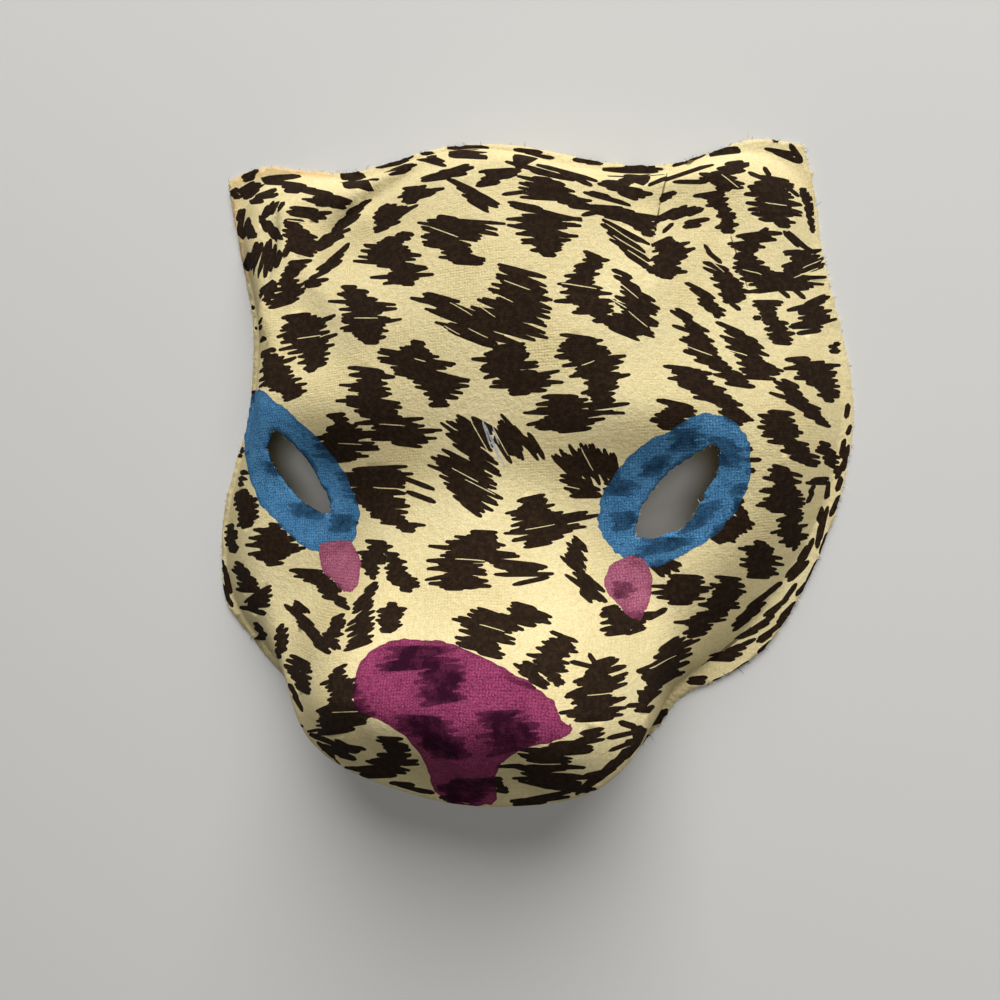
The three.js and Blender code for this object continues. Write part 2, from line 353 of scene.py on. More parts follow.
def from_flat(flat, high=None):
    p, q = flat[..., 0], flat[..., 1]
    angle = np.degrees(np.arctan2(q, p))
    length = np.hypot(p, q)
    reach = read(REACH, angle)
    radius = lookup(BACK, angle, length / reach) * read(RIM_RADIUS, angle) + np.maximum(length - reach, 0)
    turn = np.radians(angle)
    x = CENTRE[0] + radius * np.cos(turn)
    y = CENTRE[1] + radius * np.sin(turn)
    return np.stack([x, y, (high or height)(x, y)], axis=-1)


def stretch(flat):
    """How a small step on the flat cloth comes out on the mask: the two 3-D directions."""
    step = 0.4
    here = from_flat(flat, quick_height)
    return ((from_flat(flat + [step, 0], quick_height) - here) / step,
            (from_flat(flat + [0, step], quick_height) - here) / step)


# The print. Each spot is a stack of short brush strokes. A row gives one stroke's middle in the
# photograph's frame, across and down, and its length there. The slant, in degrees, turns from the
# first number to the second down the stack. Between two rows more strokes fill the gap.
LEFT_EAR_PRINT = [
    (20, 20, [(250, 169, 12), (250, 174, 17), (249, 179, 12)]),
    (30, 10, [(234, 191, 10), (237, 197, 8)]),
    (24, 24, [(246, 187, 20), (252, 191, 26), (250, 195, 16)]),
    (8, 0, [(283, 179, 32), (276, 182, 28)]),
    (20, 10, [(266, 193, 22), (264, 198, 30), (257, 202, 14)]),
    (-4, -2, [(292, 184, 26), (299, 188, 30), (292, 191, 16)]),
    (-10, -6, [(321, 192, 24), (325, 196, 46), (327, 200, 44), (333, 204, 34), (338, 207, 16)]),
    (62, 55, [(264, 214, 20), (269, 210, 20), (275, 208, 16), (281, 206, 10)]),
    (-62, -68, [(263, 224, 18), (268, 228, 22), (273, 231, 20), (277, 233, 16)]),
    (76, 80, [(239, 215, 12), (242, 222, 26), (246, 229, 20), (250, 232, 14), (254, 235, 8)]),
    (76, 80, [(249, 262, 18), (253, 261, 36), (258, 259, 34), (263, 260, 36), (268, 258, 34),
              (273, 258, 26), (277, 259, 18)]),
    (38, 34, [(268, 287, 18), (266, 292, 24), (264, 297, 20), (268, 300, 8)]),
    (40, 40, [(253, 308, 8)]),
    (50, 50, [(258, 324, 14), (260, 329, 8)]),
    (45, 45, [(263, 340, 8)]),
    (-4, -8, [(304, 209, 26), (309, 212, 42), (308, 216, 34)]),
    (-38, -38, [(313, 219, 12)]),
    (-6, -6, [(294, 221, 20), (293, 225, 18)]),
    (-10, -12, [(297, 229, 26), (300, 234, 32), (301, 239, 34), (303, 244, 34), (301, 249, 30),
                (303, 253, 20)]),
    (50, 58, [(289, 247, 18), (287, 252, 12)]),
    (32, 28, [(333, 232, 30), (333, 237, 34), (330, 242, 30), (325, 246, 18)]),
    (36, 32, [(359, 207, 28), (355, 212, 34), (350, 218, 34), (346, 224, 28), (341, 228, 20)]),
    (25, 20, [(384, 207, 14), (388, 212, 32), (396, 214, 48), (391, 220, 36), (387, 225, 26),
              (382, 229, 16)]),
    (3, 3, [(300, 262, 22)]),
    (12, 15, [(296, 267, 20), (292, 272, 24), (289, 277, 20), (288, 282, 22), (287, 288, 30),
              (287, 293, 34), (285, 298, 36), (282, 304, 28)]),
    (38, 30, [(343, 249, 18), (337, 255, 28), (330, 262, 32), (327, 269, 32), (320, 274, 22)]),
    (16, 12, [(316, 281, 24), (313, 285, 16)]),
]
LEFT_BROW_PRINT = [
    (-8, 6, [(407, 234, 14), (396, 239, 24), (386, 246, 44), (391, 253, 52), (387, 258, 50),
             (384, 263, 54), (405, 267, 42), (408, 271, 38), (402, 276, 58), (401, 281, 36),
             (408, 284, 14)]),
    (2, 0, [(349, 287, 16), (358, 291, 20), (352, 295, 30), (361, 299, 28), (362, 303, 66),
            (368, 309, 54), (361, 316, 38), (371, 324, 60), (366, 331, 40), (372, 338, 28),
            (371, 342, 16)]),
    (14, 8, [(296, 316, 30), (300, 321, 32), (306, 326, 62), (305, 332, 46), (305, 337, 44),
             (308, 342, 54), (311, 349, 46), (314, 355, 30), (313, 361, 32), (315, 366, 24),
             (311, 370, 10)]),
    (20, 12, [(267, 353, 18), (267, 359, 24), (275, 366, 42), (270, 372, 42), (270, 378, 46),
              (279, 383, 44), (288, 387, 36), (294, 392, 26), (293, 397, 20)]),
    (-8, -6, [(418, 343, 16), (417, 349, 26), (412, 355, 52), (415, 359, 74), (414, 365, 64),
              (419, 371, 50), (432, 377, 72), (441, 384, 54), (439, 390, 42), (441, 396, 34),
              (440, 401, 14), (439, 405, 20)]),
    (8, 12, [(411, 188, 18), (421, 193, 44), (416, 198, 28), (411, 202, 12)]),
    (5, 6, [(456, 169, 26), (451, 172, 42), (444, 176, 42), (436, 179, 28)]),
    (-10, -6, [(448, 218, 20), (467, 222, 66), (458, 229, 74), (450, 235, 52), (446, 241, 44),
               (447, 247, 42), (460, 253, 46), (462, 258, 44), (468, 263, 28)]),
    (-22, -30, [(463, 186, 32), (472, 191, 46), (478, 196, 46), (480, 201, 38), (478, 206, 24)]),
    (8, 14, [(499, 171, 38), (501, 175, 40), (497, 179, 36), (488, 184, 24)]),
    (-18, -18, [(440, 297, 30), (438, 304, 56), (462, 309, 80), (468, 315, 84), (472, 321, 84),
                (474, 327, 82), (475, 333, 74), (470, 338, 44)]),
    (-18, -14, [(522, 271, 44), (523, 278, 46), (522, 285, 50), (522, 292, 56), (520, 299, 62),
                (516, 306, 66), (512, 313, 66), (508, 320, 72), (508, 327, 76), (506, 332, 60)]),
    (-5, 2, [(366, 370, 36), (372, 376, 42), (372, 382, 30), (365, 387, 50), (370, 392, 40),
             (369, 397, 38), (368, 402, 58), (372, 408, 52), (378, 414, 38), (389, 421, 64),
             (398, 427, 46), (397, 432, 78), (404, 439, 60), (407, 445, 28)]),
    (6, 6, [(507, 346, 30), (505, 351, 42), (508, 355, 44), (500, 361, 52), (509, 366, 52),
            (510, 372, 54), (526, 377, 60), (528, 382, 62), (520, 386, 58), (528, 390, 38),
            (520, 393, 20)]),
]
CROWN_PRINT = [
    (5, 0, [(360, 177, 36), (360, 181, 34), (355, 185, 22)]),
    (12, 5, [(402, 160, 22), (398, 164, 40), (397, 168, 36), (398, 173, 18)]),
    (-6, -4, [(431, 154, 20), (431, 158, 28), (432, 162, 26)]),
    (0, -4, [(468, 148, 40), (464, 152, 44), (468, 156, 38)]),
    (-4, -8, [(528, 151, 28), (531, 155, 42), (528, 158, 30)]),
    (-6, -6, [(588, 161, 28), (594, 163, 16)]),
    (0, -2, [(634, 167, 56), (636, 171, 62), (636, 175, 56), (634, 178, 30)]),
    (-2, -12, [(618, 182, 34), (620, 187, 40), (630, 191, 46), (628, 196, 22)]),
    (18, 18, [(689, 160, 34)]),
    (8, 4, [(727, 149, 22), (725, 153, 28)]),
    (-16, -24, [(782, 152, 32), (786, 157, 28), (794, 160, 14)]),
    (-62, -62, [(796, 153, 20), (799, 158, 12)]),
    (0, 0, [(776, 140, 8)]),
    (-14, -14, [(540, 171, 66), (550, 175, 40)]),
    (-23, -24, [(567, 173, 56), (573, 177, 40)]),
    (-18, -18, [(600, 195, 22), (607, 199, 44)]),
    (17, 17, [(681, 175, 62)]),
    (3, 3, [(690, 182, 32)]),
    (18, 18, [(669, 194, 16), (663, 199, 8)]),
]
RIGHT_BROW_PRINT = [
    (8, 8, [(514, 193, 22)]),
    (-10, -6, [(542, 179, 20), (546, 184, 52), (548, 190, 60), (550, 194, 64), (556, 199, 64),
               (575, 204, 32), (583, 208, 26)]),
    (-8, -2, [(524, 205, 30), (534, 210, 50), (548, 214, 66), (544, 219, 72), (546, 225, 56),
              (538, 230, 58), (547, 235, 54), (546, 240, 50), (547, 246, 28), (546, 250, 32),
              (549, 255, 16)]),
    (12, 10, [(597, 212, 28)]),
    (-6, -18, [(606, 207, 32), (624, 212, 62), (626, 217, 60), (630, 221, 50), (641, 226, 30),
               (645, 231, 20), (647, 235, 12)]),
    (32, 24, [(661, 218, 16), (667, 214, 24), (674, 213, 28), (681, 213, 28), (688, 213, 26),
              (695, 212, 20)]),
    (14, 10, [(697, 221, 24), (692, 226, 20)]),
    (38, 38, [(668, 228, 14)]),
    (-22, -22, [(612, 229, 26)]),
    (-30, -32, [(626, 232, 52), (625, 238, 50), (627, 244, 46), (630, 250, 42), (634, 256, 34),
                (638, 261, 28)]),
    (20, 0, [(662, 241, 22), (671, 247, 36), (674, 253, 40), (669, 258, 34), (667, 263, 40),
             (662, 268, 36), (668, 272, 36), (666, 277, 14)]),
    (8, 0, [(709, 194, 30), (718, 200, 20), (717, 205, 24), (725, 210, 14), (726, 215, 20),
            (727, 220, 12), (727, 226, 22), (728, 231, 14)]),
    (10, -12, [(734, 163, 18), (733, 167, 32), (728, 172, 34), (718, 176, 36), (722, 181, 44),
               (727, 185, 32), (723, 189, 16)]),
    (-15, -5, [(593, 255, 20), (596, 260, 26)]),
    (8, -6, [(588, 264, 28), (588, 269, 30), (582, 275, 36), (580, 280, 26), (580, 286, 40),
             (586, 293, 46), (585, 301, 54), (596, 306, 36), (592, 312, 38), (604, 317, 26),
             (603, 321, 20)]),
    (-22, -22, [(621, 273, 20), (628, 283, 24), (638, 294, 36), (640, 300, 44), (636, 306, 42),
                (637, 313, 42), (635, 320, 46), (630, 327, 46), (624, 334, 30)]),
    (4, 10, [(578, 337, 34), (582, 342, 42), (583, 347, 48), (582, 354, 50), (594, 361, 56),
             (600, 367, 44), (594, 372, 46), (607, 379, 48), (603, 385, 28), (600, 390, 34),
             (603, 395, 24), (603, 402, 24)]),
    (0, 8, [(560, 397, 34), (562, 402, 46), (566, 408, 70), (574, 413, 92), (570, 418, 80),
            (570, 423, 66), (556, 427, 34), (575, 430, 32)]),
    (10, 10, [(609, 406, 40)]),
]
RIGHT_EAR_PRINT = [
    (-50, -50, [(767, 172, 12)]),
    (-22, -22, [(757, 176, 20)]),
    (-4, -6, [(773, 179, 30), (774, 184, 40), (768, 189, 36), (769, 196, 44), (778, 202, 42),
              (774, 208, 52), (778, 213, 44), (770, 217, 38), (777, 221, 34), (784, 226, 14)]),
    (-35, -35, [(792, 191, 18)]),
    (-20, -60, [(803, 190, 8), (806, 197, 13), (808, 204, 12), (809, 211, 12), (810, 218, 12),
                (811, 225, 12), (812, 230, 8)]),
    (30, 30, [(764, 231, 10)]),
    (0, 0, [(759, 235, 42), (752, 242, 44), (748, 247, 32), (747, 252, 24), (746, 257, 22),
            (749, 263, 28), (751, 268, 34), (757, 273, 34), (783, 278, 78), (783, 282, 76),
            (781, 286, 60), (778, 290, 56)]),
    (-42, -42, [(784, 293, 16)]),
    (-40, -40, [(799, 293, 18)]),
    (-36, -30, [(791, 239, 22), (799, 241, 26), (803, 246, 28)]),
    (8, 10, [(803, 252, 34), (805, 257, 28), (803, 262, 38), (804, 267, 40), (798, 272, 50)]),
    (3, 3, [(793, 252, 18)]),
    (-50, -40, [(709, 251, 16), (714, 257, 20)]),
    (-22, -2, [(716, 266, 28), (721, 274, 36), (727, 281, 34), (732, 289, 36), (732, 295, 26),
               (732, 301, 20)]),
    (-35, -35, [(735, 306, 14)]),
    (-26, -20, [(694, 287, 20), (702, 291, 26), (702, 296, 26), (708, 302, 20), (712, 307, 26),
                (715, 312, 20), (717, 316, 8)]),
    (-2, -4, [(768, 302, 28), (767, 308, 20), (768, 314, 18), (770, 319, 18), (776, 323, 24),
              (776, 329, 22), (781, 334, 26), (781, 339, 22), (782, 343, 18)]),
    (0, 0, [(757, 318, 9)]),
    (25, 22, [(815, 300, 22)]),
    (24, 20, [(822, 299, 18)]),
    (10, 4, [(806, 306, 38), (815, 311, 32), (814, 317, 30), (814, 322, 42), (806, 327, 34)]),
    (3, 3, [(809, 332, 22)]),
    (8, 4, [(837, 344, 8), (835, 351, 12)]),
    (-26, -8, [(684, 313, 20), (687, 320, 38), (696, 326, 26), (690, 331, 38), (702, 338, 24),
               (697, 345, 38), (703, 350, 30), (706, 357, 40), (713, 364, 36), (726, 371, 36),
               (731, 378, 34), (740, 385, 30)]),
    (-28, -4, [(728, 327, 24), (735, 331, 24), (742, 336, 34), (742, 342, 44), (747, 348, 46),
               (746, 354, 34), (755, 361, 42), (760, 367, 44), (761, 373, 34), (758, 378, 34)]),
    (-4, -16, [(679, 368, 30), (692, 373, 38), (691, 380, 44), (702, 386, 44), (705, 391, 48),
               (717, 397, 36), (722, 404, 46), (733, 410, 34), (736, 416, 34), (733, 421, 22)]),
    (-6, -2, [(675, 404, 34), (681, 410, 32), (675, 415, 40), (667, 423, 34), (669, 428, 18)]),
    (6, -10, [(797, 359, 24), (808, 363, 22), (812, 367, 52), (817, 373, 36), (816, 379, 40),
              (823, 385, 34), (829, 391, 20), (828, 396, 20), (829, 400, 10)]),
    (-22, -22, [(790, 383, 18), (788, 388, 30), (792, 394, 32), (795, 401, 48), (803, 407, 36),
                (810, 413, 30), (816, 419, 24), (823, 424, 16)]),
]
RIGHT_CHEEK_PRINT = [
    (-6, -4, [(781, 413, 28), (778, 419, 34), (779, 424, 38), (780, 430, 44), (780, 436, 38),
              (788, 443, 38), (797, 449, 22), (800, 454, 38), (805, 460, 30), (811, 465, 14)]),
    (-14, -20, [(825, 444, 12), (825, 449, 16), (828, 454, 24), (831, 460, 18), (834, 466, 14),
                (837, 472, 8)]),
    (80, 80, [(847, 411, 14)]),
    (75, 75, [(849, 430, 12)]),
    (80, 70, [(843, 448, 18), (846, 458, 26), (841, 468, 24)]),
    (72, 72, [(839, 484, 16)]),
    (70, 70, [(835, 506, 22)]),
    (-12, 0, [(781, 468, 18), (785, 473, 32), (782, 480, 38), (786, 486, 22), (781, 493, 42),
              (784, 499, 38), (779, 506, 46), (786, 511, 30), (790, 514, 12)]),
    (0, 0, [(821, 479, 16), (818, 483, 22)]),
    (60, 60, [(812, 489, 12), (810, 497, 14)]),
    (75, 75, [(827, 490, 18)]),
    (14, 6, [(790, 517, 26), (790, 523, 24), (789, 529, 36), (793, 535, 32), (793, 540, 26),
             (793, 545, 14)]),
    (50, 50, [(795, 548, 8)]),
    (78, 74, [(820, 514, 16), (824, 519, 24), (822, 528, 28), (819, 536, 24)]),
    (62, 62, [(824, 543, 22)]),
    (60, 56, [(808, 550, 24), (803, 553, 20)]),
    (48, 42, [(796, 566, 28), (797, 573, 24), (791, 572, 16)]),
    (52, 52, [(789, 594, 26)]),
    (38, 38, [(776, 607, 30), (774, 611, 20)]),
    (56, 50, [(812, 572, 26), (804, 587, 22)]),
    (48, 42, [(788, 610, 22), (785, 616, 20)]),
    (38, 36, [(776, 627, 30), (770, 632, 30), (766, 638, 16)]),
    (30, 26, [(758, 626, 34), (752, 631, 34), (748, 635, 20)]),
    (18, 12, [(739, 646, 34), (733, 651, 26)]),
    (4, 2, [(726, 655, 34), (721, 660, 26)]),
    (46, 46, [(768, 645, 26)]),
    (40, 34, [(739, 668, 22), (735, 672, 16)]),
    (22, 20, [(723, 678, 22)]),
    (0, 0, [(698, 678, 20), (696, 682, 18)]),
    (-14, -4, [(760, 543, 14), (763, 548, 22), (755, 551, 32), (764, 556, 36), (762, 562, 44),
               (758, 567, 36), (763, 572, 28), (758, 577, 22)]),
    (-28, -24, [(739, 500, 12), (739, 507, 12), (740, 514, 18), (742, 521, 24), (736, 526, 26),
                (728, 531, 24), (724, 536, 26), (716, 540, 14)]),
    (0, 0, [(753, 460, 18)]),
    (5, 5, [(750, 471, 12)]),
    (-20, -20, [(749, 449, 8)]),
    (-42, -28, [(657, 570, 20), (663, 568, 22), (669, 566, 22), (675, 563, 14)]),
    (-4, 0, [(686, 577, 32), (686, 582, 38), (682, 587, 56), (680, 592, 54), (681, 598, 42),
             (680, 603, 26)]),
    (-10, 12, [(728, 578, 28), (732, 583, 26), (728, 588, 38), (727, 594, 30), (721, 600, 28),
               (719, 606, 40), (717, 611, 24), (708, 616, 36), (700, 621, 50), (701, 626, 22),
               (697, 631, 26), (697, 635, 20)]),
    (36, 30, [(774, 588, 18), (768, 594, 24), (760, 599, 30), (755, 605, 32), (751, 611, 34),
              (746, 618, 30), (742, 624, 24)]),
]
MIDDLE_PRINT = [
    (-32, -32, [(484, 424, 28), (476, 429, 42), (470, 434, 50), (467, 441, 58), (472, 449, 56),
                (476, 458, 48), (485, 467, 34)]),
    (-52, -52, [(536, 446, 30), (526, 443, 40), (519, 436, 50), (512, 440, 42), (506, 443, 34),
                (503, 450, 30)]),
    (-27, -27, [(463, 460, 44), (465, 466, 58), (464, 471, 66), (462, 477, 66), (470, 483, 64),
                (468, 489, 60), (471, 494, 56), (470, 499, 46), (469, 504, 34), (471, 509, 26)]),
    (8, 10, [(531, 498, 28), (535, 503, 24), (530, 509, 44), (533, 514, 42), (537, 519, 52),
             (547, 524, 72), (545, 530, 72), (543, 535, 58), (544, 540, 38), (538, 545, 30)]),
    (8, 8, [(566, 516, 42), (574, 520, 50)]),
    (-45, -82, [(564, 468, 34), (572, 468, 44), (581, 466, 48), (590, 464, 44), (599, 463, 42),
                (608, 465, 34), (616, 467, 28)]),
    (-14, -6, [(575, 479, 32), (580, 485, 38), (582, 491, 34), (586, 496, 30)]),
    (-36, -36, [(580, 542, 18), (575, 549, 22), (578, 556, 22), (573, 566, 30), (580, 572, 32),
                (588, 578, 34), (583, 588, 42), (594, 590, 36), (586, 597, 18)]),
    (-6, 0, [(484, 532, 26), (482, 537, 32), (480, 541, 46), (471, 546, 52), (472, 550, 84),
             (480, 556, 78), (456, 561, 52), (455, 567, 56), (462, 572, 50), (452, 576, 54),
             (465, 581, 42), (460, 585, 54), (454, 589, 20)]),
    (-2, -4, [(514, 563, 60), (516, 568, 42), (524, 574, 52)]),
    (2, 2, [(531, 581, 34)]),
    (-20, -10, [(495, 614, 36), (497, 620, 52), (482, 626, 56), (488, 632, 50), (487, 637, 54),
                (478, 643, 46), (482, 650, 42), (490, 655, 24)]),
    (-18, -16, [(524, 606, 24), (533, 611, 38), (529, 616, 44), (514, 621, 44)]),
    (-20, -6, [(557, 634, 14), (566, 638, 24), (561, 642, 24), (560, 647, 36), (553, 652, 36),
               (548, 659, 44), (549, 664, 34), (549, 669, 34), (552, 675, 18), (555, 680, 16),
               (557, 684, 8)]),
    (-25, -25, [(534, 667, 26), (528, 672, 30), (534, 678, 30), (538, 684, 20)]),
    (-60, -60, [(592, 658, 12)]),
    (-20, -20, [(583, 665, 26)]),
    (20, 8, [(603, 661, 24), (602, 666, 36), (605, 671, 44), (590, 677, 34), (597, 684, 58),
             (596, 690, 64), (592, 697, 44), (600, 703, 50), (593, 710, 60), (595, 715, 52),
             (594, 719, 38)]),
    (14, 8, [(610, 608, 18), (612, 614, 24), (630, 618, 54), (628, 623, 50), (622, 628, 44),
             (618, 633, 26)]),
    (22, 22, [(657, 614, 22)]),
    (15, 15, [(636, 631, 20)]),
]
MUZZLE_PRINT = [
    (28, 18, [(669, 644, 26), (673, 649, 42), (670, 655, 58), (664, 660, 60), (667, 666, 50),
              (669, 672, 42), (666, 678, 38), (660, 684, 44), (658, 690, 38), (655, 696, 34)]),
    (4, 0, [(649, 703, 44), (648, 709, 26)]),
    (-10, -10, [(628, 725, 20)]),
    (8, 8, [(622, 735, 30)]),
    (20, 20, [(622, 746, 28)]),
    (40, 36, [(652, 722, 26), (647, 728, 34), (641, 733, 40), (636, 739, 44), (631, 745, 46),
              (625, 751, 46), (618, 758, 44), (611, 764, 42), (605, 771, 44), (598, 778, 42),
              (592, 784, 34)]),
    (10, 10, [(598, 773, 30)]),
    (12, 8, [(592, 731, 24), (590, 737, 28), (577, 742, 50), (567, 748, 46), (574, 753, 30)]),
    (-3, -3, [(545, 750, 36), (545, 756, 48), (549, 761, 46), (545, 767, 70), (543, 772, 80),
              (552, 778, 70), (554, 784, 66), (562, 788, 48)]),
    (4, 4, [(590, 789, 16)]),
    (6, 4, [(540, 799, 56), (547, 796, 50), (530, 803, 30)]),
    (0, 0, [(497, 779, 12), (498, 785, 12), (502, 791, 14)]),
    (24, 8, [(340, 668, 16), (337, 674, 18), (334, 680, 28), (342, 685, 28), (344, 690, 30),
             (345, 696, 32), (338, 702, 46), (343, 709, 46), (338, 715, 66), (340, 721, 64),
             (337, 727, 54), (335, 732, 40)]),
    (-20, -14, [(325, 740, 30), (338, 744, 44), (352, 746, 26), (335, 752, 40), (347, 757, 20)]),
    (-42, -42, [(326, 750, 24), (338, 762, 24)]),
    (-6, 0, [(390, 738, 26), (392, 743, 30), (397, 749, 26), (394, 755, 32), (394, 761, 46),
             (382, 766, 66), (374, 771, 62), (376, 776, 38)]),
    (-15, -15, [(402, 784, 26), (410, 788, 34), (424, 791, 20)]),
    (5, 5, [(411, 648, 44), (416, 653, 58), (420, 658, 66), (418, 663, 74), (405, 668, 44)]),
    (2, 4, [(444, 667, 38), (442, 674, 42), (440, 681, 46), (440, 688, 42), (438, 695, 42),
    (443, 701, 42)]),
    (0, 0, [(418, 718, 44), (424, 724, 56), (428, 730, 58), (436, 737, 54), (441, 744, 44),
            (446, 750, 40), (452, 756, 36)]),
    (5, 3, [(500, 713, 48), (496, 718, 38), (512, 726, 54), (506, 732, 56), (518, 740, 42),
            (510, 747, 46), (500, 753, 30)]),
    (-20, -20, [(520, 683, 34)]),
    (-2, 2, [(478, 780, 36), (468, 785, 54), (466, 790, 56), (464, 796, 50), (464, 801, 34)]),
]
LEFT_CHEEK_PRINT = [
    (5, 2, [(336, 415, 20), (341, 420, 16), (342, 427, 28), (342, 435, 54), (342, 441, 56),
            (348, 449, 60), (340, 456, 50), (342, 460, 24)]),
    (-3, -6, [(380, 468, 52), (374, 474, 70), (374, 480, 66), (372, 486, 62), (374, 492, 58),
              (374, 498, 54), (381, 504, 50), (387, 511, 38), (388, 517, 34), (403, 524, 44),
              (408, 530, 14)]),
    (-25, -25, [(412, 481, 42)]),
    (-14, -14, [(421, 497, 32)]),
    (20, 10, [(241, 449, 7), (240, 456, 9)]),
    (15, 20, [(240, 467, 10), (240, 473, 14), (238, 479, 14), (236, 486, 12)]),
    (20, 16, [(240, 493, 16), (240, 498, 18), (242, 504, 30), (244, 510, 28), (246, 516, 28),
              (248, 521, 22), (247, 526, 12)]),
    (10, -10, [(230, 526, 8), (231, 532, 12), (231, 538, 14), (231, 545, 12), (233, 551, 8)]),
    (2, 0, [(276, 525, 16), (270, 531, 34), (272, 538, 40), (272, 545, 48), (277, 551, 54),
            (271, 558, 28), (275, 564, 18)]),
    (-30, -10, [(239, 565, 10), (242, 570, 18), (244, 575, 24), (245, 580, 26), (246, 585, 26),
                (249, 590, 26)]),
    (-76, -70, [(223, 566, 14), (226, 576, 22), (225, 590, 20), (229, 600, 16)]),
    (28, -10, [(258, 594, 30), (254, 600, 34), (253, 605, 30), (252, 610, 26)]),
    (-4, -20, [(306, 571, 32), (312, 577, 34), (322, 583, 34), (329, 589, 26), (332, 595, 28),
               (340, 601, 16), (343, 606, 14)]),
    (-36, -36, [(302, 607, 18), (294, 612, 24), (300, 617, 30), (305, 623, 32), (311, 629, 34),
                (314, 636, 36), (319, 643, 30), (322, 648, 20)]),
    (20, 0, [(338, 617, 15), (338, 622, 16), (336, 628, 18), (333, 634, 20), (331, 640, 18)]),
    (-46, -46, [(330, 644, 16), (337, 645, 12)]),
    (38, 30, [(371, 587, 16), (367, 594, 24), (364, 601, 26), (363, 607, 24)]),
    (32, 26, [(364, 612, 24), (361, 618, 28), (360, 624, 30), (361, 630, 30)]),
    (24, 14, [(361, 635, 28), (360, 641, 30), (358, 646, 28)]),
    (0, 4, [(392, 604, 10), (393, 609, 28), (391, 615, 26), (388, 621, 24), (391, 627, 22),
            (387, 631, 14)]),
    (-2, -6, [(376, 542, 20), (380, 547, 26), (372, 552, 30), (374, 557, 26), (373, 562, 26),
              (370, 567, 20), (372, 573, 16), (373, 577, 8)]),
    (-4, -6, [(392, 554, 14), (395, 561, 22), (396, 568, 22), (397, 573, 22), (402, 578, 32),
              (406, 585, 28), (406, 590, 14)]),
    (44, 30, [(280, 628, 12), (281, 634, 18), (282, 640, 18), (282, 646, 16), (280, 652, 16),
              (277, 658, 10)]),
    (-40, -40, [(258, 627, 12), (260, 632, 14), (262, 637, 8)]),
    (-22, -30, [(300, 660, 20), (299, 666, 28), (300, 672, 32), (299, 678, 26), (302, 684, 20),
                (303, 690, 14)]),
    (-60, -60, [(292, 690, 22), (298, 703, 20)]),
    (4, 4, [(276, 462, 28), (280, 468, 30), (284, 474, 24)]),
    (0, 0, [(306, 504, 30), (310, 510, 36), (308, 516, 28)]),
    (0, 0, [(342, 516, 22), (345, 523, 26), (340, 530, 24)]),
]
RIGHT_RING_PRINT = [
    (8, 4, [(686, 430, 30), (686, 437, 36), (688, 444, 36), (680, 450, 26)]),
    (4, 4, [(662, 458, 22), (656, 466, 28), (650, 474, 24)]),
    (0, 0, [(620, 482, 28), (622, 488, 34), (618, 494, 26)]),
    (4, 4, [(622, 514, 24), (626, 521, 28), (622, 528, 22)]),
    (4, 4, [(668, 540, 46), (664, 546, 56), (656, 552, 40)]),
    (20, 14, [(706, 506, 30), (704, 513, 36), (698, 520, 34), (692, 528, 28)]),
    (-8, -6, [(722, 440, 26), (726, 448, 34), (728, 456, 34), (726, 464, 30)]),
    (10, 10, [(740, 486, 14), (737, 493, 14)]),
    (0, 0, [(622, 584, 20), (624, 590, 24), (621, 596, 14)]),
]
PRINT = (LEFT_EAR_PRINT + LEFT_BROW_PRINT + CROWN_PRINT + RIGHT_BROW_PRINT + RIGHT_EAR_PRINT
         + RIGHT_CHEEK_PRINT + MIDDLE_PRINT + MUZZLE_PRINT + LEFT_CHEEK_PRINT + RIGHT_RING_PRINT)

# Hair lines of bare cloth inside the spots: middle in the photograph's frame, length and slant.
BARE_LINES = [
    (444, 232, 30, -20), (484, 309, 28, -36), (478, 333, 22, -26), (517, 285, 28, -20), (504, 298, 20, -25),
    (579, 286, 36, -9), (588, 363, 14, 20), (628, 290, 27, -39), (618, 303, 20, -30), (638, 319, 25, -40),
    (420, 360, 12, -15), (461, 309, 26, -30), (452, 330, 18, -30), (626, 236, 48, -32), (632, 247, 44, -32),
    (640, 258, 30, -33), (812, 264, 20, 24), (806, 273, 26, 22), (730, 181, 22, -38), (300, 222, 26, -8),
    (480, 437, 34, -60), (500, 440, 36, -62), (465, 475, 30, -28), (480, 487, 34, -27), (587, 459, 26, -62),
    (570, 487, 20, -12), (540, 527, 30, 10), (386, 488, 26, -3), (350, 444, 24, -3), (392, 425, 26, -4),
    (366, 318, 24, 0), (716, 265, 22, -40), (752, 272, 20, -15), (592, 575, 22, -34), (470, 560, 30, -4),
    (492, 628, 26, -16), (600, 694, 26, 6), (663, 662, 30, 26), (548, 764, 26, 0), (735, 352, 26, -16),
    (700, 351, 26, -20), (776, 204, 22, -8), (309, 337, 24, 8), (345, 712, 26, 2)]
BARE_WIDTH = 0.22
BARE_PIXELS = 0.9

# Thin marks on top of the print, given the same way: the pale rub between the eyes, and dark lines along
# the dart seams and the cheek's crease, which are painted shade where the cloth folds there.
SCUFFS = [(487, 434, 30, -72), (492, 442, 38, -68), (498, 452, 34, -66), (496, 436, 18, -70)]
SEAM_SHADE_LINES = [(664, 186, 40, 77), (657, 220, 26, 79), (739, 262, 54, -72), (718, 653, 44, 37),
         (736, 640, 40, 41)]
MARK_WIDTHS = {"scuff": 0.5, "seam_shade_line": 0.3}
MARK_PIXELS = 1.6

# A brush stroke: its width in the photograph's pixels and on the cloth, the gap in pixels between
# two rows that calls for another stroke, and how many samples follow it over the cloth.
STROKE_PIXELS = 4.8
STROKE_WIDTH = 1.5
STROKE_GAP = 2.3
STROKE_SAMPLES = 7

# A stroke stops at a step between two samples that is too long. The longest one is so many times
# the step on cloth that faces the camera, with some slack: the steep number while that is within
# the limit in millimetres, else the limit, but never less than the facing number gives.
FACING_STEPS = 3.0
STEEP_STEPS = 6.5
STEP_SLACK = 0.8
STEEP_LIMIT = 6.0

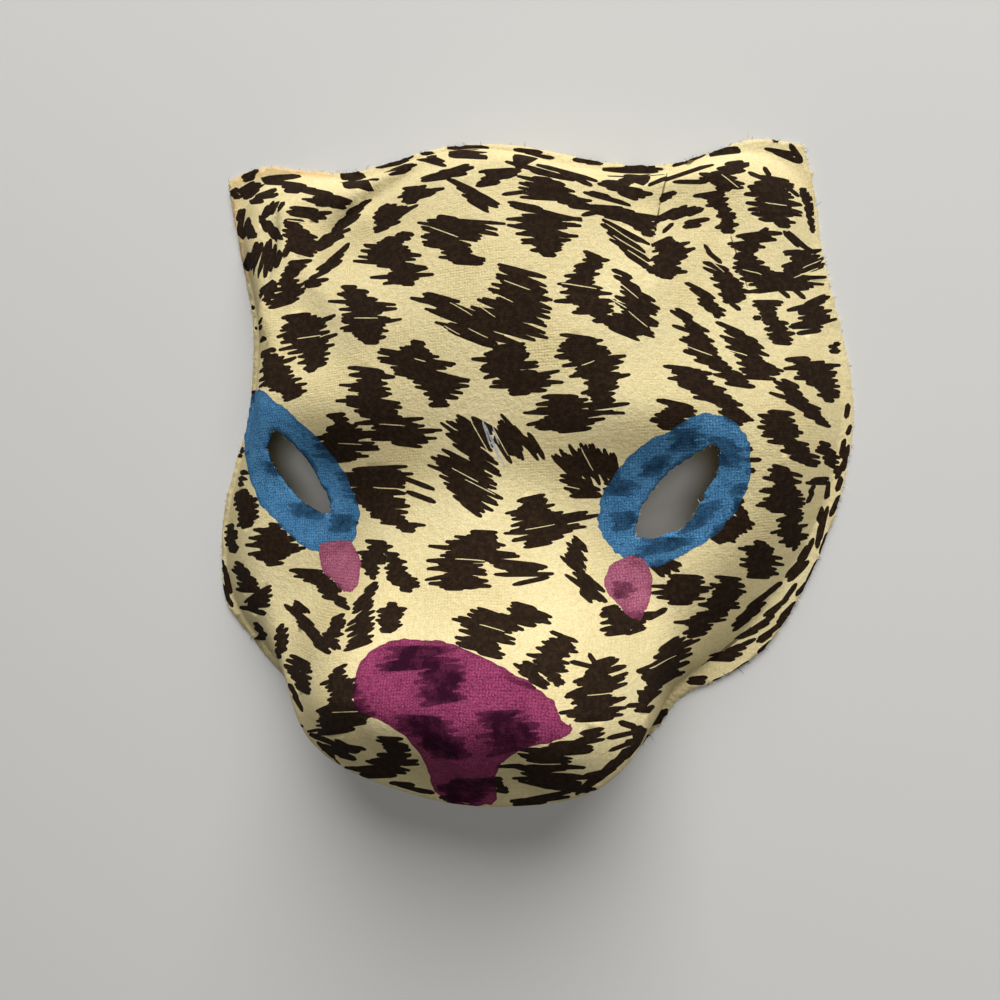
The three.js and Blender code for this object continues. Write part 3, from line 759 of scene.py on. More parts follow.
# How many times its half width a stroke may be drawn out sideways by slanting cloth.
WIDEST = 11

# Its outline: where the tips begin along each half, how much they narrow and how they turn.
SHOULDER = 0.6
TIP_TAPER = 0.66
TIP_TURNS = (-70, 0, 70)

# What chance changes in a stroke: the length of one that was read from the photograph, of a short
# and of a long one between two rows, the slant in degrees, the place and the bend in pixels, and
# the width.
READ_LENGTHS = (1.02, 1.2)
SHORT_LENGTHS = (0.6, 0.84)
LONG_LENGTHS = (0.86, 1.14)
SHORT_SHARE = 0.65
SLANT_SPREAD = 4
PLACE_SPREAD = 1.8
BEND_SPREAD = 0.5
STROKE_WIDTHS = (0.88, 1.1)
SHOULDER_WIDTHS = (0.9, 1.12)

# Spots where the photograph shows nothing: how often one is tried, its distance from the spots that
# are read and from its own kind, the part of the cloth's area it may lie in, counted from the
# middle, the most slant in degrees, how many strokes it has, their length, their spacing, how far
# they slip sideways, their lengths by turns and at the spot's two ends, and how near to a ray's
# first point on the cloth a place has to be for the photograph to show it.
SPOT_TRIALS = 6000
SPOT_CLEARANCE = 10.0
OWN_CLEARANCE = 14.0
SPOT_AREA = (0.3, 1)
SPOT_SLANT = 25
SPOT_STROKES = (6, 11)
SPOT_LENGTHS = (8, 14)
SPOT_SPACING = 0.95
SPOT_SPREAD = 0.9
SPOT_TURNS = (1.1, 0.65)
SPOT_ENDS = 0.45
SIGHT_SLACK = 2.5


def stroke_rows():
    """Middle, length and slant of every stroke of the print, in the photograph's frame."""
    strokes = []
    for first, last, rows in PRINT:
        rows = np.array(rows, float)
        way = np.r_[0, np.cumsum(np.hypot(*np.diff(rows[:, :2], axis=0).T))]
        for number, row in enumerate(rows):
            slant = first + (last - first) * (way[number] / way[-1] if way[-1] > 0 else 0)
            u, v, long = row
            long *= chance.uniform(*READ_LENGTHS)
            strokes.append((u, v, long, slant + chance.normal(0, SLANT_SPREAD)))
            if number + 1 == len(rows):
                continue
            move = rows[number + 1, :2] - row[:2]
            turn = math.radians(slant)
            apart = abs(move[0] * math.sin(turn) + move[1] * math.cos(turn))
            fill = max(1, round(apart / STROKE_GAP) - 1) if apart > STROKE_GAP else 0
            for step in range(fill):
                share = (step + 1) / (fill + 1)
                u, v, long = row + (rows[number + 1] - row) * share
                long *= chance.uniform(*(SHORT_LENGTHS if chance.random() < SHORT_SHARE else LONG_LENGTHS))
                u += chance.normal(0, PLACE_SPREAD)
                strokes.append((u, v, long, slant + chance.normal(0, SLANT_SPREAD)))
    return strokes


def capsule(spine, side, tip):
    """Outline of one brush stroke on the flat cloth: a bent spine of three points, the vector from
    the spine to the stroke's edge, and how far the rounded tips reach."""
    start, middle, end = spine
    way = (end - start) / max(np.hypot(*(end - start)), 1e-6)
    if way[0] * side[1] - way[1] * side[0] < 0:
        side = -side
    points = []
    for place, sign in ((end, 1), (start, -1)):
        shoulder = middle + (place - middle) * SHOULDER
        points.append(shoulder - side * sign * chance.uniform(*SHOULDER_WIDTHS))
        for turn in TIP_TURNS:
            out = math.radians(turn)
            edge = side * math.sin(out) * TIP_TAPER
            points.append(place + (way * (math.cos(out) - 1) * tip + edge) * sign)
        points.append(shoulder + side * sign * chance.uniform(*SHOULDER_WIDTHS))
    return np.array(points)


def square_side(spine, half_width):
    """The vector to a stroke's edge that is square to the stroke on the mask itself."""
    along, across = stretch(spine[1])
    aa, ab, bb = along @ along, along @ across, across @ across
    way = spine[2] - spine[0]
    side = np.array([-(ab * way[0] + bb * way[1]), aa * way[0] + ab * way[1]])
    return side * half_width / math.sqrt(aa * side[0] ** 2 + 2 * ab * side[0] * side[1] + bb * side[1] ** 2)


def laid_strokes(rows, pixels_wide, half_width):
    """Strokes of the photograph's frame as outlines on the flat cloth."""
    rows = np.array(rows, float)
    turn = np.radians(rows[:, 3])
    heading = np.stack([np.cos(turn), -np.sin(turn)], axis=1)
    square = np.stack([-heading[:, 1], heading[:, 0]], axis=1)
    shares = np.linspace(-0.5, 0.5, STROKE_SAMPLES)
    bend = chance.normal(0, BEND_SPREAD, len(rows))[:, None] * (1 - (2 * shares) ** 2)
    samples = (rows[:, None, :2] + heading[:, None] * (rows[:, 2, None] * shares)[:, :, None]
               + square[:, None] * bend[:, :, None])
    edges = rows[:, None, :2] + square[:, None] * (np.array([-0.5, 0.5]) * pixels_wide)[None, :, None]
    samples = np.concatenate([samples, edges], axis=1)
    found, met = on_cloth(samples.reshape(-1, 2))
    count = STROKE_SAMPLES + 2
    flat = to_flat(found[:, 0], found[:, 1]).reshape(len(rows), count, 2)
    found, met = found.reshape(len(rows), count, 3), met.reshape(len(rows), count)
    middle = STROKE_SAMPLES // 2
    outlines = []
    for row, line, place, good in zip(rows, flat, found, met):
        if not good[middle]:
            continue
        # A stroke stops where the cloth turns out of sight.
        apart = row[2] / (STROKE_SAMPLES - 1) * DISTANCE / LENS
        facing = FACING_STEPS * apart + STEP_SLACK
        steep = STEEP_STEPS * apart + STEP_SLACK
        longest = max(facing, min(steep, STEEP_LIMIT))
        low = high = middle
        while low > 0 and good[low - 1] and np.linalg.norm(place[low] - place[low - 1]) < longest:
            low -= 1
        while (high < STROKE_SAMPLES - 1 and good[high + 1]
               and np.linalg.norm(place[high] - place[high + 1]) < longest):
            high += 1
        if high == low:
            continue
        spine = (line[low], (line[(low + high) // 2] + line[(low + high + 1) // 2]) / 2, line[high])
        wide = chance.uniform(*STROKE_WIDTHS)
        side = square_side(spine, half_width * wide)
        seen = np.linalg.norm(place[-1] - place[-2]) / 2
        if good[-1] and good[-2] and half_width < seen < WIDEST * half_width:
            side = (line[-1] - line[-2]) / 2 * wide
        outlines.append(capsule(spine, side, half_width))
    return outlines


def search_tree(points):
    """The points of the flat cloth in a tree that finds the nearest one."""
    tree = KDTree(len(points))
    for number, point in enumerate(points):
        tree.insert((*point, 0), number)
    tree.balance()
    return tree


def hidden_strokes(outlines):
    """Spots of the same kind on the walls that the photograph doesn't reach."""
    taken = search_tree([outline.mean(axis=0) for outline in outlines])
    own = [np.array([FAR, FAR])]
    extra = []
    for trial in range(SPOT_TRIALS):
        angle = chance.uniform(-180, 180)
        turn = math.radians(angle)
        length = read(REACH, angle) * math.sqrt(chance.uniform(*SPOT_AREA))
        spot = np.array([length * math.cos(turn), length * math.sin(turn)])
        nearest_own = min(np.hypot(*(np.array(own) - spot).T))
        if taken.find((*spot, 0))[2] < SPOT_CLEARANCE or nearest_own < OWN_CLEARANCE:
            continue
        place = from_flat(spot)
        seen, met = on_cloth(to_pixels(place))
        if met[0] and np.linalg.norm(seen[0] - place) < SIGHT_SLACK:
            continue
        slant = math.radians(chance.uniform(-SPOT_SLANT, SPOT_SLANT))
        way = np.array([math.cos(slant), math.sin(slant)])
        down = np.array([-way[1], way[0]])
        count = int(chance.integers(*SPOT_STROKES))
        long = chance.uniform(*SPOT_LENGTHS)
        for step in range(count):
            share = (step + 0.5) / count
            bulge = SPOT_ENDS + (1 - SPOT_ENDS) * math.sin(math.pi * share)
            size = long * bulge * SPOT_TURNS[step % 2]
            middle = spot + down * (share - 0.5) * count * SPOT_SPACING
            middle = middle + way * chance.normal(0, SPOT_SPREAD)
            spine = (middle - way * size / 2, middle, middle + way * size / 2)
            side = square_side(spine, STROKE_WIDTH / 2 * chance.uniform(*STROKE_WIDTHS))
            extra.append(capsule(spine, side, STROKE_WIDTH / 2))
        own.append(spot)
    return extra


# Eye holes and painted places: outlines in the photograph's frame, clockwise.
EYE_HOLES = [
    [(270, 433), (277, 431), (288, 440), (303, 455), (318, 477), (328, 497), (331, 510), (325, 514),
     (305, 504), (288, 487), (272, 465), (266, 446)],
    [(714, 445), (718, 450), (719, 460), (717, 472), (711, 485), (703, 498), (696, 510), (690, 520),
     (680, 529), (666, 534), (653, 538), (640, 538), (635, 534), (637, 519), (641, 509), (647, 499),
     (654, 489), (662, 479), (672, 470), (684, 461), (697, 453), (706, 448)]]
LEFT_RING = [
    (258, 390), (276, 401), (302, 423), (321, 442), (341, 468), (352, 490), (359, 510), (357, 528),
    (353, 541), (339, 549), (319, 553), (304, 546), (287, 533), (272, 516), (258, 499), (250, 477),
    (245, 455), (244, 434), (248, 408)]
RIGHT_RING = [
    (620, 466), (644, 444), (670, 431), (692, 417), (713, 414), (731, 420), (746, 436), (750, 453),
    (750, 475), (744, 497), (729, 520), (709, 540), (687, 553), (668, 562), (653, 567), (636, 563),
    (620, 556), (609, 546), (601, 531), (598, 516), (603, 494)]
LEFT_DROP = [
    (320, 546), (336, 541), (352, 543), (359, 559), (360, 572), (356, 588), (347, 592), (334, 583),
    (321, 566)]
RIGHT_DROP = [
    (618, 560), (635, 556), (649, 567), (652, 590), (648, 607), (640, 618), (627, 614), (612, 598),
    (605, 585), (607, 572)]
NOSE_PAINT = [
    (354, 687), (361, 661), (381, 644), (401, 639), (429, 640), (460, 647), (488, 660), (516, 675),
    (541, 692), (556, 706), (562, 722), (572, 725), (568, 734), (556, 741), (527, 748), (504, 762),
    (496, 778), (496, 801), (484, 805), (460, 807), (446, 799), (434, 789), (429, 774), (420, 754),
    (401, 734), (375, 717), (359, 712), (353, 698)]
PAINT_STEPS = 9

# How far the raw edges and the painted ones wander, and how far the cloth is cut inside the rim.
PAINT_WANDER = 0.2
RIM_WANDER = 0.1
RIM_INSET = 0.25


def ragged(ring, size):
    """A closed outline with an uneven edge."""
    ahead, behind = np.roll(ring, -1, axis=0), np.roll(ring, 1, axis=0)
    way = ahead - behind
    out = np.stack([way[:, 1], -way[:, 0]], axis=1) / np.hypot(*way.T)[:, None]
    push = chance.normal(0, size, len(ring))
    push = (push + np.roll(push, 1) + np.roll(push, 2)) / math.sqrt(3)
    return ring + out * push[:, None]


def painted(outline):
    found, met = on_cloth(closed_curve(outline, PAINT_STEPS))
    return ragged(to_flat(found[:, 0], found[:, 1])[met], PAINT_WANDER)


def inside(outline, points):
    """Which points lie inside a closed outline."""
    result = np.zeros(len(points), bool)
    ends = np.roll(outline, -1, axis=0)
    for (ax, ay), (bx, by) in zip(outline, ends):
        crosses = (ay > points[:, 1]) != (by > points[:, 1])
        if ay == by:
            continue
        result ^= crosses & (points[:, 0] < ax + (bx - ax) * (points[:, 1] - ay) / (by - ay))
    return result


def printed(outlines, places):
    """Which places on the flat cloth lie inside one of the outlines."""
    result = np.zeros(len(places), bool)
    order = np.argsort(places[:, 0])
    across = places[order, 0]
    for outline in outlines:
        low, high = outline.min(axis=0), outline.max(axis=0)
        near = order[np.searchsorted(across, low[0]):np.searchsorted(across, high[0])]
        near = near[(places[near, 1] > low[1]) & (places[near, 1] < high[1])]
        result[near] |= inside(outline, places[near])
    return result


POINT_MERGE = 1e-3


def triangulated(points, edges):
    """Triangles over the points that keep to the edges."""
    corners = [Vector(p) for p in points]
    made, _, faces, _, _, _ = delaunay_2d_cdt(corners, edges, [], 0, POINT_MERGE, False)
    return np.array([tuple(p) for p in made]), faces


def joined_outline(strokes, bare):
    """Edges around all the strokes together, less the bare lines."""
    outlines = strokes + bare
    edges = []
    start = 0
    for outline in outlines:
        edges += ring_edges(start, len(outline))
        start += len(outline)
    made, faces = triangulated(np.vstack(outlines), edges)
    centres = made[np.array(faces)].mean(axis=1)
    uses = {}
    for number in np.flatnonzero(printed(strokes, centres) & ~printed(bare, centres)):
        face = faces[number]
        for a, b in zip(face, face[1:] + face[:1]):
            key = (min(a, b), max(a, b))
            uses[key] = uses.get(key, 0) + 1
    return made, [key for key, count in uses.items() if count == 1]


# Distance between the grid's points on the flat cloth, and their least distance from the points of
# the drawn edges.
GRID = 1.9
GRID_CLEARANCE = 0.8


def cloth_grid(rim):
    """Even points over the flat cloth, in rows of triangles."""
    low, high = rim.min(axis=0), rim.max(axis=0)
    rows = []
    for number, v in enumerate(np.arange(low[1], high[1], GRID * math.sqrt(3) / 2)):
        u = np.arange(low[0] + (number % 2) * GRID / 2, high[0], GRID)
        rows.append(np.stack([u, np.full_like(u, v)], axis=1))
    grid = np.vstack(rows)
    return grid[inside(rim, grid)]


def away_from(points, others, distance):
    """Points that keep their distance from the others."""
    taken = search_tree(others)
    return np.array([p for p in points if taken.find((*p, 0))[2] >= distance])


def ring_edges(start, count):
    return [(start + i, start + (i + 1) % count) for i in range(count)]


def hexes(value):
    """Linear colour from an sRGB hex value."""
    channels = [int(value[i:i + 2], 16) / 255 for i in (1, 3, 5)]
    return tuple(c / 12.92 if c <= 0.04045 else ((c + 0.055) / 1.055) ** 2.4 for c in channels) + (1.0,)


def placed(name, data):
    """A new object in the scene."""
    thing = bpy.data.objects.new(name, data)
    bpy.context.scene.collection.objects.link(thing)
    return thing


def add(tree, kind, inputs=(), **settings):
    """Adds a node with its settings and links: inputs are (socket, value or output socket)."""
    node = tree.nodes.new(kind)
    for name, value in settings.items():
        setattr(node, name, value)
    for socket, value in inputs:
        if isinstance(value, bpy.types.NodeSocket):
            tree.links.new(value, node.inputs[socket])
        else:
            node.inputs[socket].default_value = value
    return node


# Shares of the light that the front and the back of the cloth let through.
THROUGH_FRONT = 0.26
THROUGH_BACK = 0.8
# Raw cotton hardly reflects a light straight on.
FLANNEL_SHEEN = 0.08


def new_material(name, rough, specular):
    material = bpy.data.materials.new(name)
    material.use_nodes = True
    tree = material.node_tree
    tree.nodes.clear()
    inputs = [("Roughness", rough), ("Specular IOR Level", specular)]
    shader = add(tree, "ShaderNodeBsdfPrincipled", inputs)
    add(tree, "ShaderNodeOutputMaterial", [("Surface", shader.outputs[0])])
    return material, tree, shader


def plain_material(name, colour, rough, specular):
    material, _, shader = new_material(name, rough, specular)
    shader.inputs["Base Color"].default_value = hexes(colour)
    return material


def let_light_through(tree, shader, colour, share):
    """Thin cotton glows a little from the light behind it."""
    tree.links.new(colour, shader.inputs["Base Color"])
    glow = add(tree, "ShaderNodeBsdfTranslucent", [("Color", colour)])
    both = add(tree, "ShaderNodeMixShader", [(0, share), (1, shader.outputs[0]), (2, glow.outputs[0])])
    tree.links.new(both.outputs[0], tree.nodes["Material Output"].inputs["Surface"])


def mix(tree, share, first, second, blend="MIX"):
    inputs = [(0, share), (6, first), (7, second)]
    return add(tree, "ShaderNodeMix", inputs, data_type="RGBA", blend_type=blend).outputs[2]


def maths(tree, operation, *values, clamp=False):
    node = add(tree, "ShaderNodeMath", list(enumerate(values)), operation=operation, use_clamp=clamp)
    return node.outputs[0]


def attribute(tree, name):
    return add(tree, "ShaderNodeAttribute", attribute_name=name).outputs["Fac"]


def over_level(tree, value, level, gain):
    """How far a value stands over a level, times the gain, from 0 to 1."""
    return maths(tree, "MULTIPLY", maths(tree, "SUBTRACT", value, level), gain, clamp=True)


def cloth_places(tree):
    """Coordinates in the frame, and on the cloth laid flat."""
    where = add(tree, "ShaderNodeTexCoord").outputs["Object"]
    return where, add(tree, "ShaderNodeAttribute", attribute_name="flat").outputs["Vector"]


def add_relief(tree, shader, relief, strength, depth):
    """Small relief from a height, with its depth in millimetres."""
    inputs = [("Strength", strength), ("Distance", depth * MM), ("Height", relief)]
    bump = add(tree, "ShaderNodeBump", inputs)
    tree.links.new(bump.outputs[0], shader.inputs["Normal"])


def noise(tree, vector, size, detail=2.0, rough=0.5):
    """Noise whose blobs are about this many millimetres across, on coordinates in metres."""
    node = add(tree, "ShaderNodeTexNoise", [("Vector", vector), ("Scale", 1 / (size * MM)),
                                            ("Detail", detail), ("Roughness", rough)])
    return node.outputs["Fac"]


# The threads: their spacing, the turn of the weave in degrees, and how far and over what length
# they wander.
THREAD = 0.85
WEAVE_TURN = -6.0
THREAD_WANDER = 0.7
WANDER_LENGTH = 2.4


def weave(tree, cloth, where):
    """Plain weave from the cloth's own coordinates: 1 on the top of a thread, 0 in a gap. The
    threads wander a little, as spun cotton does."""
    scale = 1 / (WANDER_LENGTH * MM)
    wander = add(tree, "ShaderNodeTexNoise", [("Vector", where), ("Scale", scale), ("Detail", 1.0)])
    reach = (THREAD_WANDER * MM, THREAD_WANDER * MM, 0.0)
    shift = add(tree, "ShaderNodeVectorMath", [(0, wander.outputs["Color"]), (1, reach)],
                operation="MULTIPLY")
    moved = add(tree, "ShaderNodeVectorMath", [(0, cloth), (1, shift.outputs[0])], operation="ADD")
    turned = add(tree, "ShaderNodeMapping", [("Vector", moved.outputs[0]),
                                             ("Rotation", (0, 0, math.radians(WEAVE_TURN)))])
    parts = add(tree, "ShaderNodeSeparateXYZ", [("Vector", turned.outputs[0])])
    turns = math.pi / (THREAD * MM)
    warp = maths(tree, "ABSOLUTE", maths(tree, "SINE", maths(tree, "MULTIPLY", parts.outputs[0], turns)))
    weft = maths(tree, "ABSOLUTE", maths(tree, "SINE", maths(tree, "MULTIPLY", parts.outputs[1], turns)))
    return maths(tree, "POWER", maths(tree, "MULTIPLY", warp, weft), 0.5)


def over(tree, share, first, second, strength):
    return mix(tree, maths(tree, "MULTIPLY", share, strength, clamp=True), first, second)


def printed_flannel():
    """Cotton flannel, plain woven, brushed and printed, then painted by hand. Matt, with a soft
    nap that blurs the weave, and thin paint that lets the threads and the print show through."""
    material, tree, shader = new_material("printed_cotton_flannel", 1.0, FLANNEL_SHEEN)
    where, cloth = cloth_places(tree)
    cloud = noise(tree, where, 26, 3)
    nap = noise(tree, where, 1.5, 4, 0.65)
    fuzz = noise(tree, where, 0.42, 2, 0.6)
    mottle = noise(tree, where, 4.5, 4, 0.62)
    ink_there = attribute(tree, "ink")
    # The nap covers the weave in some places more than in others.
    gaps = maths(tree, "SUBTRACT", 1.0, weave(tree, cloth, where))
    shown = over_level(tree, cloud, 0.42, 2.4)
    pits = maths(tree, "MULTIPLY", gaps, shown)
    tufts = over_level(tree, nap, 0.44, 2.2)
    dark_grain = over_level(tree, fuzz, 0.47, 4.0)
    light_grain = over_level(tree, 0.47, fuzz, 4.0)

    cream = mix(tree, cloud, hexes("#f6e8b8"), hexes("#ead798"))
    cream = mix(tree, attribute(tree, "tan_tint"), cream, hexes("#efc98f"))
    cream = over(tree, pits, cream, hexes("#b99d62"), 0.3)
    cream = over(tree, tufts, cream, hexes("#cfb87e"), 0.6)
    cream = over(tree, dark_grain, cream, hexes("#cdb885"), 0.5)
    cream = over(tree, light_grain, cream, hexes("#fdf4d4"), 0.6)
    # Dark lines along the dart seams and the cheek's crease: painted shade of the cloth's folds there.
    cream = over(tree, attribute(tree, "seam_shade_line"), cream, hexes("#5d4a2c"), 0.75)
    ink = mix(tree, fuzz, hexes("#140c06"), hexes("#34261c"))
    ink = over(tree, tufts, ink, hexes("#57452f"), 0.45)
    colour = mix(tree, ink_there, cream, ink)
    rubbed = maths(tree, "MULTIPLY", attribute(tree, "scuff"), maths(tree, "MULTIPLY", nap, 1.6))
    colour = over(tree, rubbed, colour, hexes("#b9bcc0"), 1.0)

    # Each paint: where it lies, its thin and thick colour, its colour in the gaps between threads,
    # its colour over the print, and how much of the print shows through.
    paints = [
        ("blue_paint", "#74b8e6", "#316fa8", "#143252", "#1c3549", 0.95),
        ("pink_paint", "#e28fa8", "#a94d6c", "#5e2039", "#56243a", 0.95),
        ("magenta_paint", "#c45a86", "#832c52", "#3d0f26", "#2c0c20", 1.1),
    ]
    under = maths(tree, "MULTIPLY", maths(tree, "ADD", attribute(tree, "soft_ink"), ink_there), 0.5)
    under = maths(tree, "MULTIPLY", under, maths(tree, "ADD", maths(tree, "MULTIPLY", mottle, 1.5), 0.1))
    for name, thin, thick, gap, printed_over, strength in paints:
        paint = mix(tree, mottle, hexes(thick), hexes(thin))
        paint = over(tree, light_grain, paint, hexes(thin), 0.9)
        paint = over(tree, under, paint, hexes(printed_over), strength)
        paint = over(tree, gaps, paint, hexes(gap), 0.5)
        paint = over(tree, dark_grain, paint, hexes(gap), 0.9)
        paint = over(tree, attribute(tree, "paint_edge"), paint, hexes(gap), 0.25)
        colour = mix(tree, attribute(tree, name), colour, paint)
    let_light_through(tree, shader, colour, THROUGH_FRONT)

    relief = maths(tree, "MULTIPLY_ADD", pits, -0.6, maths(tree, "MULTIPLY", fuzz, 0.5))
    relief = maths(tree, "MULTIPLY_ADD", nap, 1.4, relief)
    add_relief(tree, shader, relief, 0.8, 0.4)
    return material


def flannel_reverse():
    """The same flannel from behind: unbrushed, with the print showing faintly through the threads."""
    material, tree, shader = new_material("flannel_reverse", 1.0, FLANNEL_SHEEN)
    where, cloth = cloth_places(tree)
    pits = maths(tree, "SUBTRACT", 1.0, weave(tree, cloth, where))
    cream = mix(tree, noise(tree, where, 24, 3), hexes("#e2cf98"), hexes("#cdb67c"))
    cream = over(tree, pits, cream, hexes("#8f7a4a"), 0.5)
    patchy = maths(tree, "MULTIPLY", maths(tree, "ADD", noise(tree, where, 2.2, 3), 0.1), 0.62)
    ghost = maths(tree, "MULTIPLY", attribute(tree, "ink"), patchy)
    let_light_through(tree, shader, mix(tree, ghost, cream, hexes("#4c3828")), THROUGH_BACK)
    relief = maths(tree, "MULTIPLY_ADD", pits, -1.0, noise(tree, where, 0.6, 3))
    add_relief(tree, shader, relief, 0.7, 0.3)
    return material


def cotton_fibre(name, colour):
    """Loose cotton fibres at a raw edge: matt, and paler than the cloth they come from."""
    return plain_material(name, colour, 1.0, 0.1)


# A tan stripe along the rim by the left ear: its left and right end, its depth from the rim, how
# high up the face it starts, and the lengths that its two ends fade over.
TAN_LEFT = -106
TAN_RIGHT = -62
TAN_DEPTH = 5.0
TAN_BOTTOM = 60
TAN_FADES = (3, 12)
TAN_FILL = 1.6

# Width of the darker edge of a painted place.
PAINT_EDGE = 0.7
FLAT_SIZE = 290.0


def cut_edges():
    """Rim and eye holes on the flat cloth, cut raw."""
    rim = to_flat(*rim_points(RIM_STEPS).T)
    rim_reach = read(REACH, np.degrees(np.arctan2(rim[:, 1], rim[:, 0])))
    rim = ragged(rim * ((rim_reach - RIM_INSET) / np.hypot(*rim.T))[:, None], RIM_WANDER)
    return rim, [painted(hole) for hole in EYE_HOLES]


def cloth_mesh(rim, holes):
    """The printed cloth as one sheet whose faces follow every stroke of the print."""
    strokes = laid_strokes(stroke_rows(), STROKE_PIXELS, STROKE_WIDTH / 2)
    strokes += hidden_strokes(strokes)
    bare = laid_strokes(BARE_LINES, BARE_PIXELS, BARE_WIDTH / 2)
    marks = {}
    # The pale scuffs, and the dark lines of painted fold shade along the seams and the crease.
    for name, rows in (("scuff", SCUFFS), ("seam_shade_line", SEAM_SHADE_LINES)):
        marks[name] = laid_strokes(rows, MARK_PIXELS, MARK_WIDTHS[name] / 2)
    print_points, print_edges = joined_outline(strokes, bare)
    paints = {
        "blue_paint": [painted(LEFT_RING), painted(RIGHT_RING)],
        "pink_paint": [painted(LEFT_DROP), painted(RIGHT_DROP)],
        "magenta_paint": [painted(NOSE_PAINT)],
    }
    points, edges = [print_points], list(print_edges)
    start = len(print_points)
    for ring in [rim] + holes + [ring for several in (paints | marks).values() for ring in several]:
        points.append(ring)
        edges += ring_edges(start, len(ring))
        start += len(ring)
    for line, _, _ in DARTS:
        for shift in (-DART_EDGE, DART_EDGE):
            seam_shade_line = curve_through(line, SEAM_STEPS)
            chain = to_flat(seam_shade_line[:, 0] + shift, seam_shade_line[:, 1])
            points.append(chain)
            edges += ring_edges(start, len(chain))[:-1]
            start += len(chain)
    fixed = np.vstack(points)
    grid = away_from(cloth_grid(rim), fixed, GRID_CLEARANCE)
    flat, faces = triangulated(np.vstack([fixed, grid]), edges)
    faces = np.array(faces)
    centres = flat[faces].mean(axis=1)
    keep = inside(rim, centres)
    for hole in holes:
        keep &= ~inside(hole, centres)
    faces, centres = faces[keep], centres[keep]
    layers = {"ink": printed(strokes, centres) & ~printed(bare, centres)}
    for name, several in (paints | marks).items():
        layers[name] = printed(several, centres)
    used = np.unique(faces)
    order = np.full(len(flat), -1)
    order[used] = np.arange(len(used))
    painted_edges = [ring for several in paints.values() for ring in several]
    return flat[used], order[faces], layers, painted_edges


def distance_to_line(points, line):
    best = np.full(len(points), FAR)
    for a, b in zip(line[:-1], line[1:]):
        way = b - a
        share = np.clip(((points - a) @ way) / max(way @ way, 1e-9), 0, 1)
        best = np.minimum(best, np.hypot(*(points - a - share[:, None] * way).T))
    return best


SPREAD_ROUNDS = 4


def spread(shares, faces, count):
    """Values of the faces, blurred over the points around them."""
    uses = np.bincount(faces.ravel(), minlength=count)
    for step in range(SPREAD_ROUNDS):
        points = np.bincount(faces.ravel(), np.repeat(shares, 3), count) / uses
        shares = points[faces].mean(axis=1)
    return points


def make_cloth(rim, holes):
    flat, faces, layers, painted_edges = cloth_mesh(rim, holes)
    places = from_flat(flat)
    mesh = bpy.data.meshes.new("flannel_face")
    mesh.from_pydata([tuple(p * MM) for p in places], [], faces.tolist())
    for name, values in layers.items():
        layer = mesh.attributes.new(name, "FLOAT", "CORNER")
        layer.data.foreach_set("value", np.repeat(values.astype(float), 3))
    laid = mesh.attributes.new("flat", "FLOAT_VECTOR", "POINT")
    laid.data.foreach_set("vector", np.column_stack([flat * MM, np.zeros(len(flat))]).ravel())

    to_edge = np.full(len(flat), FAR)
    for ring in painted_edges:
        to_edge = np.minimum(to_edge, distance_to_line(flat, np.vstack([ring, ring[:1]])))
    angle, radius = polar(places[:, 0], places[:, 1])
    from_rim = read(RIM_RADIUS, angle) - radius
    tan = smooth((TAN_DEPTH - from_rim) / TAN_DEPTH * TAN_FILL)
    tan = tan * smooth((places[:, 0] - TAN_LEFT) / TAN_FADES[0])
    tan = tan * smooth((TAN_RIGHT - places[:, 0]) / TAN_FADES[1]) * (places[:, 1] > TAN_BOTTOM)
    tints = {
        "paint_edge": np.exp(-(to_edge / PAINT_EDGE) ** 2),
        "soft_ink": spread(layers["ink"], faces, len(flat)),
        "tan_tint": tan,
    }
    for name, values in tints.items():
        mesh.attributes.new(name, "FLOAT", "POINT").data.foreach_set("value", values)

    uv = mesh.uv_layers.new(name="cloth")
    uv.data.foreach_set("uv", (flat[faces.ravel()] / FLAT_SIZE + 0.5).ravel())
    mesh.materials.append(printed_flannel())
    mesh.materials.append(flannel_reverse())
    mesh.shade_smooth()
    cloth = placed("flannel_face", mesh)
    wall = cloth.modifiers.new("thickness", "SOLIDIFY")
    wall.thickness = CLOTH * MM
    wall.offset = -1
    wall.material_offset = 1
    return cloth


# A real fibre is far thinner than a pixel, so it is drawn as coarse as a fine sewing thread.
FIBRE_RADIUS = 0.08
FIBRE_STEPS = 4
FIBRE_TIP = 0.4

# Along the rim and around each hole: how many fibres, how long they are, and the share that comes
# from the print. Some are much longer. They start inside the cloth's edge and curl.
RIM_FIBRES = (900, 1.0, 0.3)
HOLE_FIBRES = (70, 0.45, 0.0)
FIBRE_LENGTHS = (0.4, 1.5)
LONG_SHARE = 0.08
LONG_TIMES = 2.2
ROOT_INSIDE = 0.5
ROOT_DEPTHS = (0.2, 1.1)
ROOT_STEP = 0.3
CURL = 0.35
FIBRE_CLEARANCE = 1.5 * FIBRE_RADIUS


